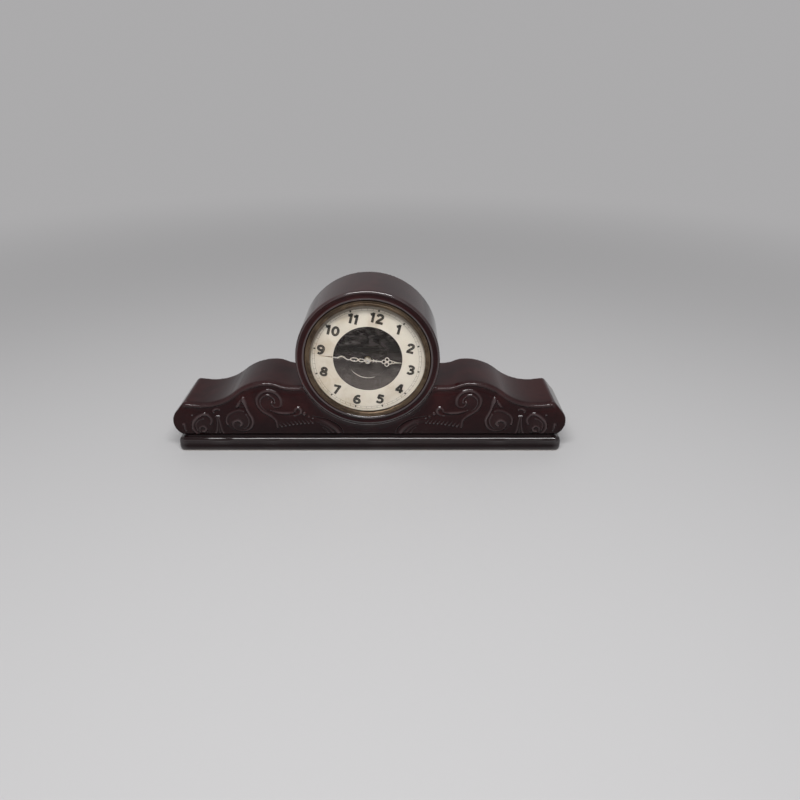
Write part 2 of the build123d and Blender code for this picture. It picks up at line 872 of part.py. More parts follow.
# Winding work: the arbor turns in both plates and carries the ratchet wheel and the key
key_front = can_back + key_stand
with BuildPart() as winding_arbor:
    with BuildSketch(facing_plane(front_plate_front, great_place)):
        Circle(winding_radius)
    extrude(amount=-(key_front + key_hub_length - front_plate_front))
finish(winding_arbor, "winding_arbor")

with BuildPart() as ratchet_wheel:
    with BuildSketch(facing_plane(front_plate_back + ratchet_level, great_place)):
        Polygon(
            *tooth_points(
                ratchet_teeth,
                ratchet_radius,
                ratchet_radius - ratchet_tooth_depth,
                ratchet_tip_share,
                ratchet_root_share,
                0,
                ratchet_lean_share,
            )
        )
        Circle(winding_radius, mode=Mode.SUBTRACT)
    extrude(amount=-ratchet_thickness)
finish(ratchet_wheel, "ratchet_wheel")

# Great wheel: runs loose on the winding arbor and carries the click and its spring
click_place = step_from(great_place, click_circle, click_bearing)
click_local = polar(click_circle, radians(click_bearing))
spring_start = step_from(click_local, click_spring_offset, click_spring_side)
spring_foot = step_from(spring_start, click_spring_length, click_spring_bearing)
with BuildPart() as great_wheel:
    with BuildSketch(facing_plane(front_plate_back + great_level, great_place)):
        Polygon(*wheel_points(great_teeth, great_module, great_bearing - 180))
        Circle(winding_radius + pivot_clearance, mode=Mode.SUBTRACT)
        with Locations(click_local):
            Circle(click_pin_radius, mode=Mode.SUBTRACT)
    extrude(amount=-great_thickness)
finish(great_wheel, "great_wheel")

# Click: its nose stands in the gap before a tooth's upright face
ratchet_pitch = 360 / ratchet_teeth
ratchet_root = ratchet_radius - ratchet_tooth_depth
upright_turn = (click_tooth + ratchet_root_share / 2) * ratchet_pitch
nose_turn = radians(upright_turn) + click_gap / ratchet_root
heel_turn = nose_turn + radians(click_nose_turn)
nose_tip = polar(ratchet_root + click_gap, nose_turn)
nose_top = polar(ratchet_root + click_gap + click_nose_height, nose_turn)
heel = polar(ratchet_radius + click_heel_gap, heel_turn)
back_bearing = degrees(atan2(click_local[1] - nose_top[1], click_local[0] - nose_top[0])) - 90
click_points = [
    nose_tip,
    nose_top,
    step_from(click_local, click_hub_radius, back_bearing),
    step_from(click_local, click_hub_radius, back_bearing + 180),
    heel,
]
with BuildPart() as click:
    with BuildSketch(facing_plane(front_plate_back + ratchet_level, great_place)):
        Polygon(*click_points)
        with Locations(click_local):
            Circle(click_hub_radius)
            Circle(click_pin_radius + pivot_clearance, mode=Mode.SUBTRACT)
    extrude(amount=-ratchet_thickness)
finish(click, "click")

click_back = ratchet_level + ratchet_thickness + pivot_clearance
with BuildPart() as click_screw:
    with BuildSketch(facing_plane(front_plate_back + great_level, click_place)):
        Circle(click_pin_radius)
    extrude(amount=-(click_back - great_level))
    with BuildSketch(facing_plane(front_plate_back + click_back, click_place)):
        Circle(click_head_radius)
    extrude(amount=-click_head_height)
finish(click_screw, "click_screw")

great_back = great_level + great_thickness
with BuildPart() as click_spring:
    with BuildSketch(facing_plane(front_plate_back + ratchet_level, great_place)):
        Polygon(*bar_points(spring_start, spring_foot, click_spring_thickness))
        with Locations(spring_foot):
            Circle(click_foot_radius)
    extrude(amount=-ratchet_thickness)
    with BuildSketch(facing_plane(front_plate_back + great_back, great_place)):
        with Locations(spring_foot):
            Circle(click_foot_radius)
    extrude(amount=-(ratchet_level - great_back))
finish(click_spring, "click_spring")

# Mainspring: coiled round the winding arbor, its outer end led to the nearest pillar
anchor = min(pillar_places, key=lambda place: hypot(place[0] - great_place[0], place[1] - great_place[1]))
anchor_reach = hypot(anchor[0] - great_place[0], anchor[1] - great_place[1])
anchor_bearing = degrees(atan2(anchor[1] - great_place[1], anchor[0] - great_place[0]))
mainspring_end = anchor_reach - pillar_radius - mainspring_thickness / 2
mainspring_pitch = (mainspring_end - mainspring_tail_room - mainspring_inner_radius) / mainspring_turns
mainspring_radii = spiral_radii(
    mainspring_inner_radius, mainspring_pitch, mainspring_turns, mainspring_tail_turn, mainspring_end
)
with BuildPart() as mainspring:
    with BuildSketch(facing_plane(front_plate_back + mainspring_level, great_place)):
        Polygon(*strip_points(mainspring_radii, mainspring_thickness, anchor_bearing))
    extrude(amount=-mainspring_height)
finish(mainspring, "mainspring")
print("least gap between mainspring turns", round(coil_gap(mainspring_radii, mainspring_thickness), 2))

# Winding key: a hub on the arbor with two pierced wings
swing = radians(movement_turn)
key_origin = facing_plane(key_front, great_place).origin
key_plane = Plane(key_origin, x_dir=(cos(swing), 0, -sin(swing)), z_dir=(sin(swing), 0, cos(swing)))
wing_offset = key_wing_span / 2 - key_wing_radius
with BuildPart() as winding_key:
    with BuildSketch(facing_plane(key_front, great_place)):
        Circle(key_hub_radius)
    extrude(amount=-key_hub_length)
    with BuildSketch(key_plane):
        with Locations((0, key_wing_set)):
            Rectangle(2 * wing_offset, key_wing_radius)
        with Locations((-wing_offset, key_wing_set), (wing_offset, key_wing_set)):
            Circle(key_wing_radius)
            Circle(key_wing_hole_radius, mode=Mode.SUBTRACT)
    extrude(amount=key_wing_thickness / 2, both=True)
    with BuildSketch(facing_plane(key_front, great_place)):
        Circle(winding_radius)
    extrude(amount=-key_hub_length, mode=Mode.SUBTRACT)
finish(winding_key, "winding_key")

# Centre wheel on a pipe that turns in both plates, with the hand arbor through it
pipe_back = back_plate_back + end_shake
with BuildPart() as centre_pinion:
    with BuildSketch(facing_plane(front_plate_front)):
        Circle(centre_pipe_radius)
    extrude(amount=-(pipe_back - front_plate_front))
    with BuildSketch(facing_plane(front_plate_back + centre_pinion_level)):
        Polygon(*leaf_points(centre_leaves, great_module, great_bearing))
    extrude(amount=-centre_pinion_length)
    with BuildSketch(facing_plane(front_plate_front)):
        Circle(centre_pipe_bore)
    extrude(amount=-(pipe_back - front_plate_front), mode=Mode.SUBTRACT)
finish(centre_pinion, "centre_pinion")

centre_wheel = spoked_wheel(
    centre_place, centre_wheel_level, centre_teeth, centre_module, third_bearing, centre_pipe_radius
)
finish(centre_wheel, "centre_wheel")

third_pinion = pivoted_pinion(
    third_place, third_pinion_level, third_pinion_length, third_leaves, centre_module,
    third_bearing + 180, arbor_radius,
)
finish(third_pinion, "third_pinion")

third_wheel = spoked_wheel(
    third_place, third_wheel_level, third_teeth, third_module, fourth_bearing, arbor_radius
)
finish(third_wheel, "third_wheel")

fourth_pinion = pivoted_pinion(
    fourth_place, fourth_pinion_level, fourth_pinion_length, fourth_leaves, third_module,
    fourth_bearing + 180, arbor_radius,
)
finish(fourth_pinion, "fourth_pinion")

fourth_wheel = spoked_wheel(
    fourth_place, fourth_wheel_level, fourth_teeth, fourth_module, escape_bearing, arbor_radius
)
finish(fourth_wheel, "fourth_wheel")

escape_pinion = pivoted_pinion(
    escape_place, escape_pinion_level, escape_pinion_length, escape_leaves, fourth_module,
    escape_bearing + 180, slim_arbor_radius,
)
finish(escape_pinion, "escape_pinion")

# Escape wheel: its pointed teeth stand a quarter pitch from both pallet pins
escape_pitch = 360 / escape_teeth
escape_phase = lever_bearing + (pallet_span - escape_pitch / 2) / 2 - escape_pitch / 2
escape_phase -= escape_lean_share * escape_pitch
with BuildPart() as escape_wheel:
    with BuildSketch(facing_plane(front_plate_back + escape_wheel_level, escape_place)):
        Polygon(
            *tooth_points(
                escape_teeth,
                escape_radius,
                escape_radius - escape_tooth_depth,
                escape_tip_share,
                escape_root_share,
                escape_phase,
                escape_lean_share,
            )
        )
        Circle(slim_arbor_radius, mode=Mode.SUBTRACT)
    extrude(amount=-wheel_thickness)
finish(escape_wheel, "escape_wheel")

# Pallet lever: two pins for the escape wheel and a fork for the balance's impulse pin
pin_circle = escape_radius + pallet_gap + pallet_pin_radius
pin_places = [
    step_from(escape_place, pin_circle, lever_bearing + side * pallet_span / 2) for side in (-1, 1)
]
pins_local = [(place[0] - lever_place[0], place[1] - lever_place[1]) for place in pin_places]
fork_root = step_from((0, 0), fork_reach - fork_depth, balance_bearing)
fork_heel = step_from((0, 0), fork_reach - fork_depth - fork_wall, balance_bearing)
fork_end = step_from((0, 0), fork_reach, balance_bearing)
fork_mouth = step_from((0, 0), fork_reach + overrun, balance_bearing)
with BuildPart() as pallet_lever:
    with BuildSketch(facing_plane(front_plate_back + lever_level, lever_place)):
        Circle(lever_hub_radius)
        for pin in pins_local:
            Polygon(*bar_points((0, 0), pin, lever_arm_width))
            with Locations(pin):
                Circle(lever_arm_width / 2)
        Polygon(*bar_points((0, 0), fork_root, lever_arm_width))
        Polygon(*bar_points(fork_heel, fork_end, 2 * (fork_half_gap + fork_wall)))
        Polygon(*bar_points(fork_root, fork_mouth, 2 * fork_half_gap), mode=Mode.SUBTRACT)
        Circle(slim_arbor_radius, mode=Mode.SUBTRACT)
        with Locations(*pins_local):
            Circle(pallet_pin_radius, mode=Mode.SUBTRACT)
    extrude(amount=-lever_thickness)
finish(pallet_lever, "pallet_lever")

with BuildPart() as pallet_pins:
    for place in pin_places:
        with BuildSketch(facing_plane(front_plate_back + lever_level, place)):
            Circle(pallet_pin_radius)
        extrude(amount=-(lever_thickness + pallet_pin_reach))
    with BuildSketch(facing_plane(front_plate_back + end_shake, lever_place)):
        Circle(slim_arbor_radius)
    extrude(amount=-(pillar_length - 2 * end_shake))
    with BuildSketch(facing_plane(front_plate_front, lever_place)):
        Circle(pivot_radius)
    extrude(amount=-(pillar_length + 2 * plate_thickness))
finish(pallet_pins, "pallet_pins")

# Balance: rim, arm and impulse pin on a staff that runs between two pivot screws
impulse_local = polar(impulse_radius, radians(balance_bearing + 180))
arm_end = balance_radius - balance_rim / 2
with BuildPart() as balance_wheel:
    with BuildSketch(facing_plane(front_plate_back + balance_level, balance_place)):
        Circle(balance_radius)
        Circle(balance_radius - balance_rim, mode=Mode.SUBTRACT)
        Circle(balance_hub_radius)
        Polygon(
            *bar_points(
                polar(arm_end, radians(balance_bearing)),
                polar(arm_end, radians(balance_bearing + 180)),
                balance_arm_width,
            )
        )
        Circle(staff_radius, mode=Mode.SUBTRACT)
    extrude(amount=-balance_thickness)
    with BuildSketch(facing_plane(front_plate_back + balance_level, balance_place)):
        with Locations(impulse_local):
            Circle(impulse_pin_radius)
    extrude(amount=-(balance_thickness + impulse_pin_length))
finish(balance_wheel, "balance_wheel")

staff_front = front_plate_back + pivot_screw_reach + end_shake
staff_back = back_plate_front - pivot_screw_reach - end_shake
with BuildPart() as balance_staff:
    with BuildSketch(facing_plane(staff_front, balance_place)):
        Circle(staff_radius)
    extrude(amount=-(staff_back - staff_front))
    with BuildSketch(facing_plane(staff_front - staff_pivot_length, balance_place)):
        Circle(staff_pivot_radius)
    extrude(amount=-(staff_back - staff_front + 2 * staff_pivot_length))
    with BuildSketch(facing_plane(front_plate_back + hairspring_level, balance_place)):
        Circle(collet_radius)
    extrude(amount=-hairspring_height)
finish(balance_staff, "balance_staff")

screw_length = pivot_screw_stand + plate_thickness + pivot_screw_reach
pivot_hole = staff_pivot_radius + pivot_clearance
with BuildPart() as balance_pivot_screws:
    for head, inner in (
        (front_plate_front - pivot_screw_stand, staff_front - staff_pivot_length - end_shake),
        (back_plate_front - pivot_screw_reach, back_plate_front - pivot_screw_reach),
    ):
        with BuildSketch(facing_plane(head, balance_place)):
            Circle(pivot_screw_radius)
        extrude(amount=-screw_length)
        with BuildSketch(facing_plane(inner, balance_place)):
            Circle(pivot_hole)
        extrude(amount=-staff_pivot_length, mode=Mode.SUBTRACT)
finish(balance_pivot_screws, "balance_pivot_screws")

# Hairspring, the stud that pins its outer end and the regulator whose curb pins straddle it
hairspring_radii = spiral_radii(hairspring_inner_radius, hairspring_pitch, hairspring_turns, 0, 0)
with BuildPart() as hairspring:
    with BuildSketch(facing_plane(front_plate_back + hairspring_level, balance_place)):
        Polygon(*strip_points(hairspring_radii, hairspring_thickness, stud_bearing))
    extrude(amount=-hairspring_height)
finish(hairspring, "hairspring")
print("least gap between hairspring turns", round(coil_gap(hairspring_radii, hairspring_thickness), 2))

with BuildPart() as hairspring_stud:
    with BuildSketch(facing_plane(front_plate_back + hairspring_level, stud_place)):
        Circle(stud_radius)
    extrude(amount=-(pillar_length - hairspring_level + plate_thickness))
finish(hairspring_stud, "hairspring_stud")

regulator_front = back_plate_back + regulator_gap
tip_local = polar(regulator_reach, radians(regulator_bearing))
with BuildPart() as regulator:
    with BuildSketch(facing_plane(regulator_front, balance_place)):
        Circle(pivot_screw_radius + pivot_clearance + regulator_ring_width)
        Polygon(*bar_points((0, 0), tip_local, regulator_arm_width))
        with Locations(tip_local):
            Circle(regulator_tip_radius)
        Circle(pivot_screw_radius + pivot_clearance, mode=Mode.SUBTRACT)
    extrude(amount=-regulator_thickness)
    with BuildSketch(facing_plane(regulator_front, balance_place)):
        with Locations(tip_local):
            Circle(regulator_tip_radius)
    extrude(amount=-(can_back + regulator_tip_stand - regulator_front))
    with BuildSketch(facing_plane(front_plate_back + hairspring_level, balance_place)):
        for side in (-1, 1):
            with Locations(polar(curb_circle + side * curb_offset, radians(regulator_bearing))):
                Circle(curb_pin_radius)
    extrude(amount=-(regulator_front - front_plate_back - hairspring_level))
finish(regulator, "regulator")

# Hand arbor and motion work
knob_front = can_back + knob_stand
knob_back = knob_front + knob_thickness
with BuildPart() as centre_arbor:
    with BuildSketch(facing_plane(nut_front)):
        Circle(centre_arbor_radius)
    extrude(amount=-(knob_back - nut_front))
finish(centre_arbor, "centre_arbor")

with BuildPart() as friction_washer:
    with BuildSketch(facing_plane(pipe_back + end_shake)):
        Circle(friction_washer_radius)
        Circle(centre_arbor_radius, mode=Mode.SUBTRACT)
    extrude(amount=-friction_washer_thickness)
finish(friction_washer, "friction_washer")

cannon_back = front_plate_front - cannon_stand
with BuildPart() as cannon_pinion:
    with BuildSketch(facing_plane(cannon_back)):
        Polygon(*leaf_points(cannon_leaves, minute_module, minute_bearing))
    extrude(amount=cannon_length)
    with BuildSketch(facing_plane(cannon_back)):
        Circle(cannon_pipe_radius)
    extrude(amount=cannon_back - minute_hand_front)
    with BuildSketch(facing_plane(cannon_back)):
        Circle(centre_arbor_radius)
    extrude(amount=cannon_back - minute_hand_front, mode=Mode.SUBTRACT)
finish(cannon_pinion, "cannon_pinion")

minute_wheel_back = front_plate_front - minute_wheel_stand
minute_pinion_back = minute_wheel_back - wheel_thickness
minute_bore = minute_stud_radius + pivot_clearance
with BuildPart() as minute_wheel:
    with BuildSketch(facing_plane(minute_wheel_back, minute_place)):
        Polygon(*wheel_points(minute_teeth, minute_module, minute_bearing + 180))
        Circle(minute_bore, mode=Mode.SUBTRACT)
    extrude(amount=wheel_thickness)
finish(minute_wheel, "minute_wheel")

with BuildPart() as minute_pinion:
    with BuildSketch(facing_plane(minute_pinion_back, minute_place)):
        Polygon(*leaf_points(minute_leaves, hour_module, minute_bearing + 180))
        Circle(minute_bore, mode=Mode.SUBTRACT)
    extrude(amount=minute_pinion_length)
finish(minute_pinion, "minute_pinion")

stud_head_back = minute_pinion_back - minute_pinion_length - end_shake
with BuildPart() as minute_stud:
    with BuildSketch(facing_plane(front_plate_back, minute_place)):
        Circle(minute_stud_radius)
    extrude(amount=front_plate_back - stud_head_back)
    with BuildSketch(facing_plane(stud_head_back, minute_place)):
        Circle(minute_stud_head_radius)
    extrude(amount=minute_stud_head_height)
finish(minute_stud, "minute_stud")

hour_wheel_back = front_plate_front - hour_wheel_stand
with BuildPart() as hour_wheel:
    with BuildSketch(facing_plane(hour_wheel_back)):
        Polygon(*wheel_points(hour_teeth, hour_module, minute_bearing))
    extrude(amount=wheel_thickness)
    with BuildSketch(facing_plane(hour_wheel_back)):
        Circle(hour_pipe_radius)
    extrude(amount=hour_wheel_back - hour_hand_front)
    with BuildSketch(facing_plane(hour_wheel_back)):
        Circle(hour_pipe_bore)
    extrude(amount=hour_wheel_back - hour_hand_front, mode=Mode.SUBTRACT)
finish(hour_wheel, "hour_wheel")

with BuildPart() as setting_knob:
    with BuildSketch(facing_plane(knob_front)):
        Polygon(
            *tooth_points(
                knob_flutes,
                knob_radius,
                knob_radius - knob_flute_depth,
                knob_flute_share,
                knob_flute_share,
                0,
            )
        )
        Circle(centre_arbor_radius, mode=Mode.SUBTRACT)
    extrude(amount=-knob_thickness)
finish(setting_knob, "setting_knob")

# Hands: stamped and pierced, the hour hand with a clover, the minute hand with two loops and a wave
clover_places = [
    (0, clover_inner_place),
    (-clover_side_spread, clover_side_place),
    (clover_side_spread, clover_side_place),
    (0, clover_outer_place),
]
with BuildPart() as hour_hand:
    with BuildSketch(facing_plane(hour_hand_back, turn=hour_angle)):
        Circle(hour_boss_radius)
        Polygon(*bar_points((0, 0), (0, bud_place), hour_stem_width))
        for spur_place, lean in zip(spur_places, (1, -1)):
            Polygon(
                (-spur_width / 2, spur_place),
                (0, spur_place + lean * spur_height / 2),
                (spur_width / 2, spur_place),
                (0, spur_place + lean * spur_height),
            )
        Polygon((-tip_width / 2, bud_place), (tip_width / 2, bud_place), (0, hour_length))
        with Locations(*clover_places):
            Circle(clover_leaf_radius)
        with Locations((0, bud_place)):
            Circle(bud_radius)
            Circle(bud_hole_radius, mode=Mode.SUBTRACT)
        with Locations(*clover_places):
            Circle(clover_hole_radius, mode=Mode.SUBTRACT)
        Circle(hour_pipe_radius, mode=Mode.SUBTRACT)
    extrude(amount=hand_thickness)
finish(hour_hand, "hour_hand")

crescent_hole_width = crescent_width - 2 * crescent_wall
wave_rise = ThreePointArc((0, wave_foot), (-wave_dip, wave_dip_place), (0, wave_turn))
wave_crest = TangentArc((0, wave_turn), (wave_swell, wave_swell_place), tangent=wave_rise % 1)
wave_side = (wave_swell * wave_fall_share, wave_shoulder)
wave_fall = ThreePointArc((wave_swell, wave_swell_place), wave_side, (0, wave_end))
with BuildPart() as minute_hand:
    with BuildSketch(facing_plane(minute_hand_back, turn=minute_angle)):
        Circle(minute_boss_radius)
        with Locations((0, loop_place)):
            Ellipse(loop_width / 2, loop_length / 2)
            Ellipse(loop_width / 2 - loop_wall, loop_length / 2 - loop_wall, mode=Mode.SUBTRACT)
        with Locations((0, crescent_place)):
            Ellipse(crescent_width / 2, crescent_length / 2)
            Ellipse(crescent_hole_width / 2, crescent_length / 2 - crescent_wall, mode=Mode.SUBTRACT)
        with Locations((-crescent_hole_width / 2, crescent_place)):
            Circle(crescent_tooth_radius)
        for arc in (wave_rise, wave_crest, wave_fall):
            SlotArc(arc, wave_width)
        Polygon((-pointer_width / 2, wave_end), (pointer_width / 2, wave_end), (0, minute_length))
        Circle(cannon_pipe_radius, mode=Mode.SUBTRACT)
    extrude(amount=hand_thickness)
finish(minute_hand, "minute_hand")

with BuildPart() as hand_nut:
    with BuildSketch(facing_plane(minute_hand_front)):
        Circle(nut_radius)
        Circle(centre_arbor_radius, mode=Mode.SUBTRACT)
    extrude(amount=nut_height)
finish(hand_nut, "hand_nut")
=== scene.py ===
import json
from functools import reduce
from math import cos, pi, radians, sin

import bmesh
import bpy
import numpy as np
from mathutils import Matrix, Vector


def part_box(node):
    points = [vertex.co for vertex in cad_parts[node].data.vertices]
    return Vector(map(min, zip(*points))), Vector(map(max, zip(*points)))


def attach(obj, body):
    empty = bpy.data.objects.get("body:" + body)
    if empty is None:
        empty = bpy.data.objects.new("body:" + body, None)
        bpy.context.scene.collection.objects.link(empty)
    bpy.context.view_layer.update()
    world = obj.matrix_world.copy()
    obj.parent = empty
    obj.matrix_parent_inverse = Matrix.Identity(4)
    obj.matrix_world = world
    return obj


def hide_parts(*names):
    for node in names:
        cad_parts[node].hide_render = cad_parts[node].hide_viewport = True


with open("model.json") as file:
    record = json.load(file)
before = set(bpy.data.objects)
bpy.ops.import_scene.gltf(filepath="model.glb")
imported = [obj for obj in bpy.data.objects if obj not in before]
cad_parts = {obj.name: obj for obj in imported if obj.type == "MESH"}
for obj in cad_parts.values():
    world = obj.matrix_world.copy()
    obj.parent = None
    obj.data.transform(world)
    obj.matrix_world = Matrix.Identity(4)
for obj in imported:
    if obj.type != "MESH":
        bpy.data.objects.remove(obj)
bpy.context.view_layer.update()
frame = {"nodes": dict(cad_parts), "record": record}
nodes = frame["nodes"]
mm = 0.001

# Places read from the frame: the dial's axis and the depths that the dressing follows
caseLow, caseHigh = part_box("ceramic_case")
dialAxisZ = sum(corner.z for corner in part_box("chapter_ring")) / 2
lipFront = caseLow.y
drumProud = 5.0 * mm  # the drum stands this far in front of the wings
wingFront = lipFront + drumProud
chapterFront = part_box("chapter_ring")[0].y
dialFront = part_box("dial_plate")[0].y


# Shader helpers: an input that is a socket is linked, any other value is set
def feed(tree, node, inputs):
    for key, value in inputs.items():
        if isinstance(value, bpy.types.NodeSocket):
            tree.links.new(value, node.inputs[key])
        else:
            node.inputs[key].default_value = value


def addNode(tree, kind, inputs={}, **settings):
    node = tree.nodes.new("ShaderNode" + kind)
    for key, value in settings.items():
        setattr(node, key, value)
    feed(tree, node, inputs)
    return node


def combine(tree, operation, first, second, clamp=False):
    return addNode(tree, "Math", {0: first, 1: second}, operation=operation, use_clamp=clamp).outputs[0]


def remap(tree, value, result=(0.0, 1.0), levels=(0.0, 1.0), smooth=False):
    # spreads what lies between two levels over the result's range
    inputs = {"Value": value, "From Min": levels[0], "From Max": levels[1], "To Min": result[0], "To Max": result[1]}
    kind = "SMOOTHSTEP" if smooth else "LINEAR"
    return addNode(tree, "MapRange", inputs, interpolation_type=kind).outputs["Result"]


def objectPlace(tree):
    return addNode(tree, "TexCoord").outputs["Object"]


def axisOf(tree, vector, axis):
    return addNode(tree, "SeparateXYZ", {0: vector}).outputs[axis]


def lengthOf(tree, vector):
    return addNode(tree, "VectorMath", {0: vector}, operation="LENGTH").outputs["Value"]


def noise(tree, place, scale, detail, roughness=0.5, distortion=0.0):
    inputs = {"Vector": place, "Scale": scale, "Detail": detail, "Roughness": roughness, "Distortion": distortion}
    return addNode(tree, "TexNoise", inputs).outputs["Fac"]


def mixShaders(tree, share, first, second, output):
    mix = addNode(tree, "MixShader", {"Fac": share, 1: first, 2: second})
    tree.links.new(mix.outputs["Shader"], tree.nodes[output].inputs["Surface"])


# Studio: pale floor, soft light from above and in front, camera at the photograph's height and tilt
studio = {
    "floorSize": 8.0,
    "floorColor": (0.56, 0.555, 0.56),
    "floorRoughness": 0.6,
    "backdropColor": (0.41, 0.405, 0.41),
    "backdropReach": (0.35, 1.6),  # the floor fades into the backdrop between these distances
    "skyColor": (0.99, 0.985, 1.0),
    "skyLevels": (0.12, 0.24),  # in front, behind
    "lamps": {  # place, width and height, power
        "Key soft box": ((0.02, -0.70, 1.32), (1.2, 0.16), 18.5),
        "Front soft box": ((0.0, -1.9, 1.15), (2.4, 1.2), 4.0),
        "Top soft box": ((0.0, 0.4, 1.6), (2.2, 1.4), 2.5),
    },
    "lampAim": (0, 0, 0.08),
    "cameraPlace": (0.0311, wingFront - 0.5607, 0.3496),
    "cameraTilt": 62.5,
    "cameraLens": 28.56,
    "sensorWidth": 36,
    "clipStart": 0.01,
}


def addLamp(name, place, size, power):
    light = bpy.data.lights.new(name, "AREA")
    light.shape = "RECTANGLE"
    light.size, light.size_y = size
    light.energy = power
    lamp = bpy.data.objects.new(name, light)
    lamp.location = place
    lamp.rotation_euler = (Vector(studio["lampAim"]) - lamp.location).to_track_quat("-Z", "Y").to_euler()
    bpy.context.scene.collection.objects.link(lamp)


def showsBackdrop(tree):
    # 1 for the rays that show the backdrop: from the camera, off gloss, through glass
    rays = addNode(tree, "LightPath").outputs
    shown = combine(tree, "MAXIMUM", rays["Is Camera Ray"], rays["Is Glossy Ray"])
    return combine(tree, "MAXIMUM", shown, rays["Is Transmission Ray"])


def fadeFloor(tree, shader):
    # far off, the floor takes the backdrop's colour for all rays that show it
    fade = remap(tree, lengthOf(tree, objectPlace(tree)), levels=studio["backdropReach"], smooth=True)
    share = combine(tree, "MULTIPLY", showsBackdrop(tree), fade)
    glow = addNode(tree, "Emission", {"Color": (*studio["backdropColor"], 1)})
    mixShaders(tree, share, shader.outputs["BSDF"], glow.outputs["Emission"], "Material Output")


def buildStudio():
    scene = bpy.context.scene
    scene.view_settings.view_transform = "Standard"
    world = bpy.data.worlds.new("Studio sky")
    world.use_nodes = True
    sky = world.node_tree
    way = addNode(sky, "TexCoord").outputs["Generated"]
    level = remap(sky, axisOf(sky, way, "Y"), studio["skyLevels"], levels=(-1, 1))
    light = sky.nodes["Background"]
    feed(sky, light, {"Color": (*studio["skyColor"], 1), "Strength": level})
    backdrop = addNode(sky, "Background", {"Color": (*studio["backdropColor"], 1)})
    mixShaders(sky, showsBackdrop(sky), light.outputs[0], backdrop.outputs[0], "World Output")
    scene.world = world

    half = studio["floorSize"] / 2
    mesh = bpy.data.meshes.new("floor")
    mesh.from_pydata([(-half, -half, 0), (half, -half, 0), (half, half, 0), (-half, half, 0)], [], [(0, 1, 2, 3)])
    floor = bpy.data.objects.new("floor", mesh)
    scene.collection.objects.link(floor)
    material, tree, shader = newFinish("Pale floor")
    feed(tree, shader, {"Base Color": (*studio["floorColor"], 1), "Roughness": studio["floorRoughness"]})
    mesh.materials.append(material)
    fadeFloor(tree, shader)

    for name, (spot, size, power) in studio["lamps"].items():
        addLamp(name, spot, size, power)

    lens = bpy.data.cameras.new("Camera")
    lens.lens = studio["cameraLens"]
    lens.sensor_width = studio["sensorWidth"]
    lens.clip_start = studio["clipStart"]
    camera = bpy.data.objects.new("Camera", lens)
    camera.location = studio["cameraPlace"]
    camera.rotation_euler = (radians(studio["cameraTilt"]), 0, 0)
    scene.collection.objects.link(camera)
    scene.camera = camera
    print("studio ready")


# Shader node groups shared by the finishes
def openGroup(name, **inputs):
    group = bpy.data.node_groups.new(name, "ShaderNodeTree")
    for label, value in inputs.items():
        socket = group.interface.new_socket(label, in_out="INPUT", socket_type="NodeSocketFloat")
        socket.default_value = value
    return group, group.nodes.new("NodeGroupInput").outputs


def closeGroup(group, **outputs):
    for label in outputs:
        group.interface.new_socket(label, in_out="OUTPUT", socket_type="NodeSocketFloat")
    feed(group, group.nodes.new("NodeGroupOutput"), outputs)
    return group


def buildMottle():
    # cloudy patches between two noise levels, at a scale in patches to the metre, and finer specks
    group, given = openGroup("Mottle", Scale=40, Low=0.4, High=0.65)
    place = objectPlace(group)
    cloud = noise(group, place, given["Scale"], 5, 0.6, 0.4)
    speck = noise(group, place, combine(group, "MULTIPLY", given["Scale"], 9.0), 3, 0.7)
    mask = remap(group, cloud, levels=(given["Low"], given["High"]), smooth=True)
    return closeGroup(group, Mask=mask, Fine=speck)


def buildEdges():
    # raised edges, where a glaze runs thin or a plating is rubbed, and hollows, where dirt or glaze gathers
    group, given = openGroup("Edges", Reach=0.06)
    bend = addNode(group, "NewGeometry").outputs["Pointiness"]
    share = combine(group, "DIVIDE", combine(group, "SUBTRACT", bend, 0.5), given["Reach"])
    raised, hollow = [combine(group, "MULTIPLY", share, sign, clamp=True) for sign in (1, -1)]
    return closeGroup(group, Raised=raised, Hollow=hollow)


def buildDust():
    # dust that settles on what faces up
    group, given = openGroup("Dust", Scale=120, Amount=0.4)
    facing = axisOf(group, addNode(group, "NewGeometry").outputs["Normal"], "Z")
    upward = remap(group, facing, levels=(0.35, 1.0), smooth=True)
    patch = remap(group, noise(group, objectPlace(group), given["Scale"], 6, 0.75), levels=(0.42, 0.68))
    mask = combine(group, "MULTIPLY", combine(group, "MULTIPLY", upward, patch), given["Amount"], clamp=True)
    return closeGroup(group, Mask=mask)


def buildRound():
    # grows from 0 to 1 between two distances from the dial's axis, which may be set lower
    group, given = openGroup("Round", Inner=0.05, Outer=0.055, Lower=0.0)
    place = objectPlace(group)
    height = combine(group, "SUBTRACT", axisOf(group, place, "Z"), dialAxisZ)
    lowered = combine(group, "ADD", height, given["Lower"])
    spot = addNode(group, "CombineXYZ", {"X": axisOf(group, place, "X"), "Y": lowered}).outputs[0]
    mask = remap(group, lengthOf(group, spot), levels=(given["Inner"], given["Outer"]), smooth=True)
    return closeGroup(group, Mask=mask, Height=height)


mottleGroup = buildMottle()
edgesGroup = buildEdges()
dustGroup = buildDust()
roundGroup = buildRound()
print("node groups ready")


# Helpers that write a finish as a short list of steps
def newFinish(name):
    material = bpy.data.materials.new(name)
    material.use_nodes = True
    tree = material.node_tree
    return material, tree, tree.nodes["Principled BSDF"]


def useGroup(tree, group, **values):
    return addNode(tree, "Group", values, node_tree=group).outputs


def blend(tree, mask, first, second, cover=None):
    # first and second are colours or sockets that carry one, for the node's two colour inputs
    if cover:
        mask = remap(tree, mask, (0.0, cover))
    tones = [(*value, 1) if isinstance(value, tuple) else value for value in (first, second)]
    return addNode(tree, "Mix", {"Factor": mask, 6: tones[0], 7: tones[1]}, data_type="RGBA").outputs[2]


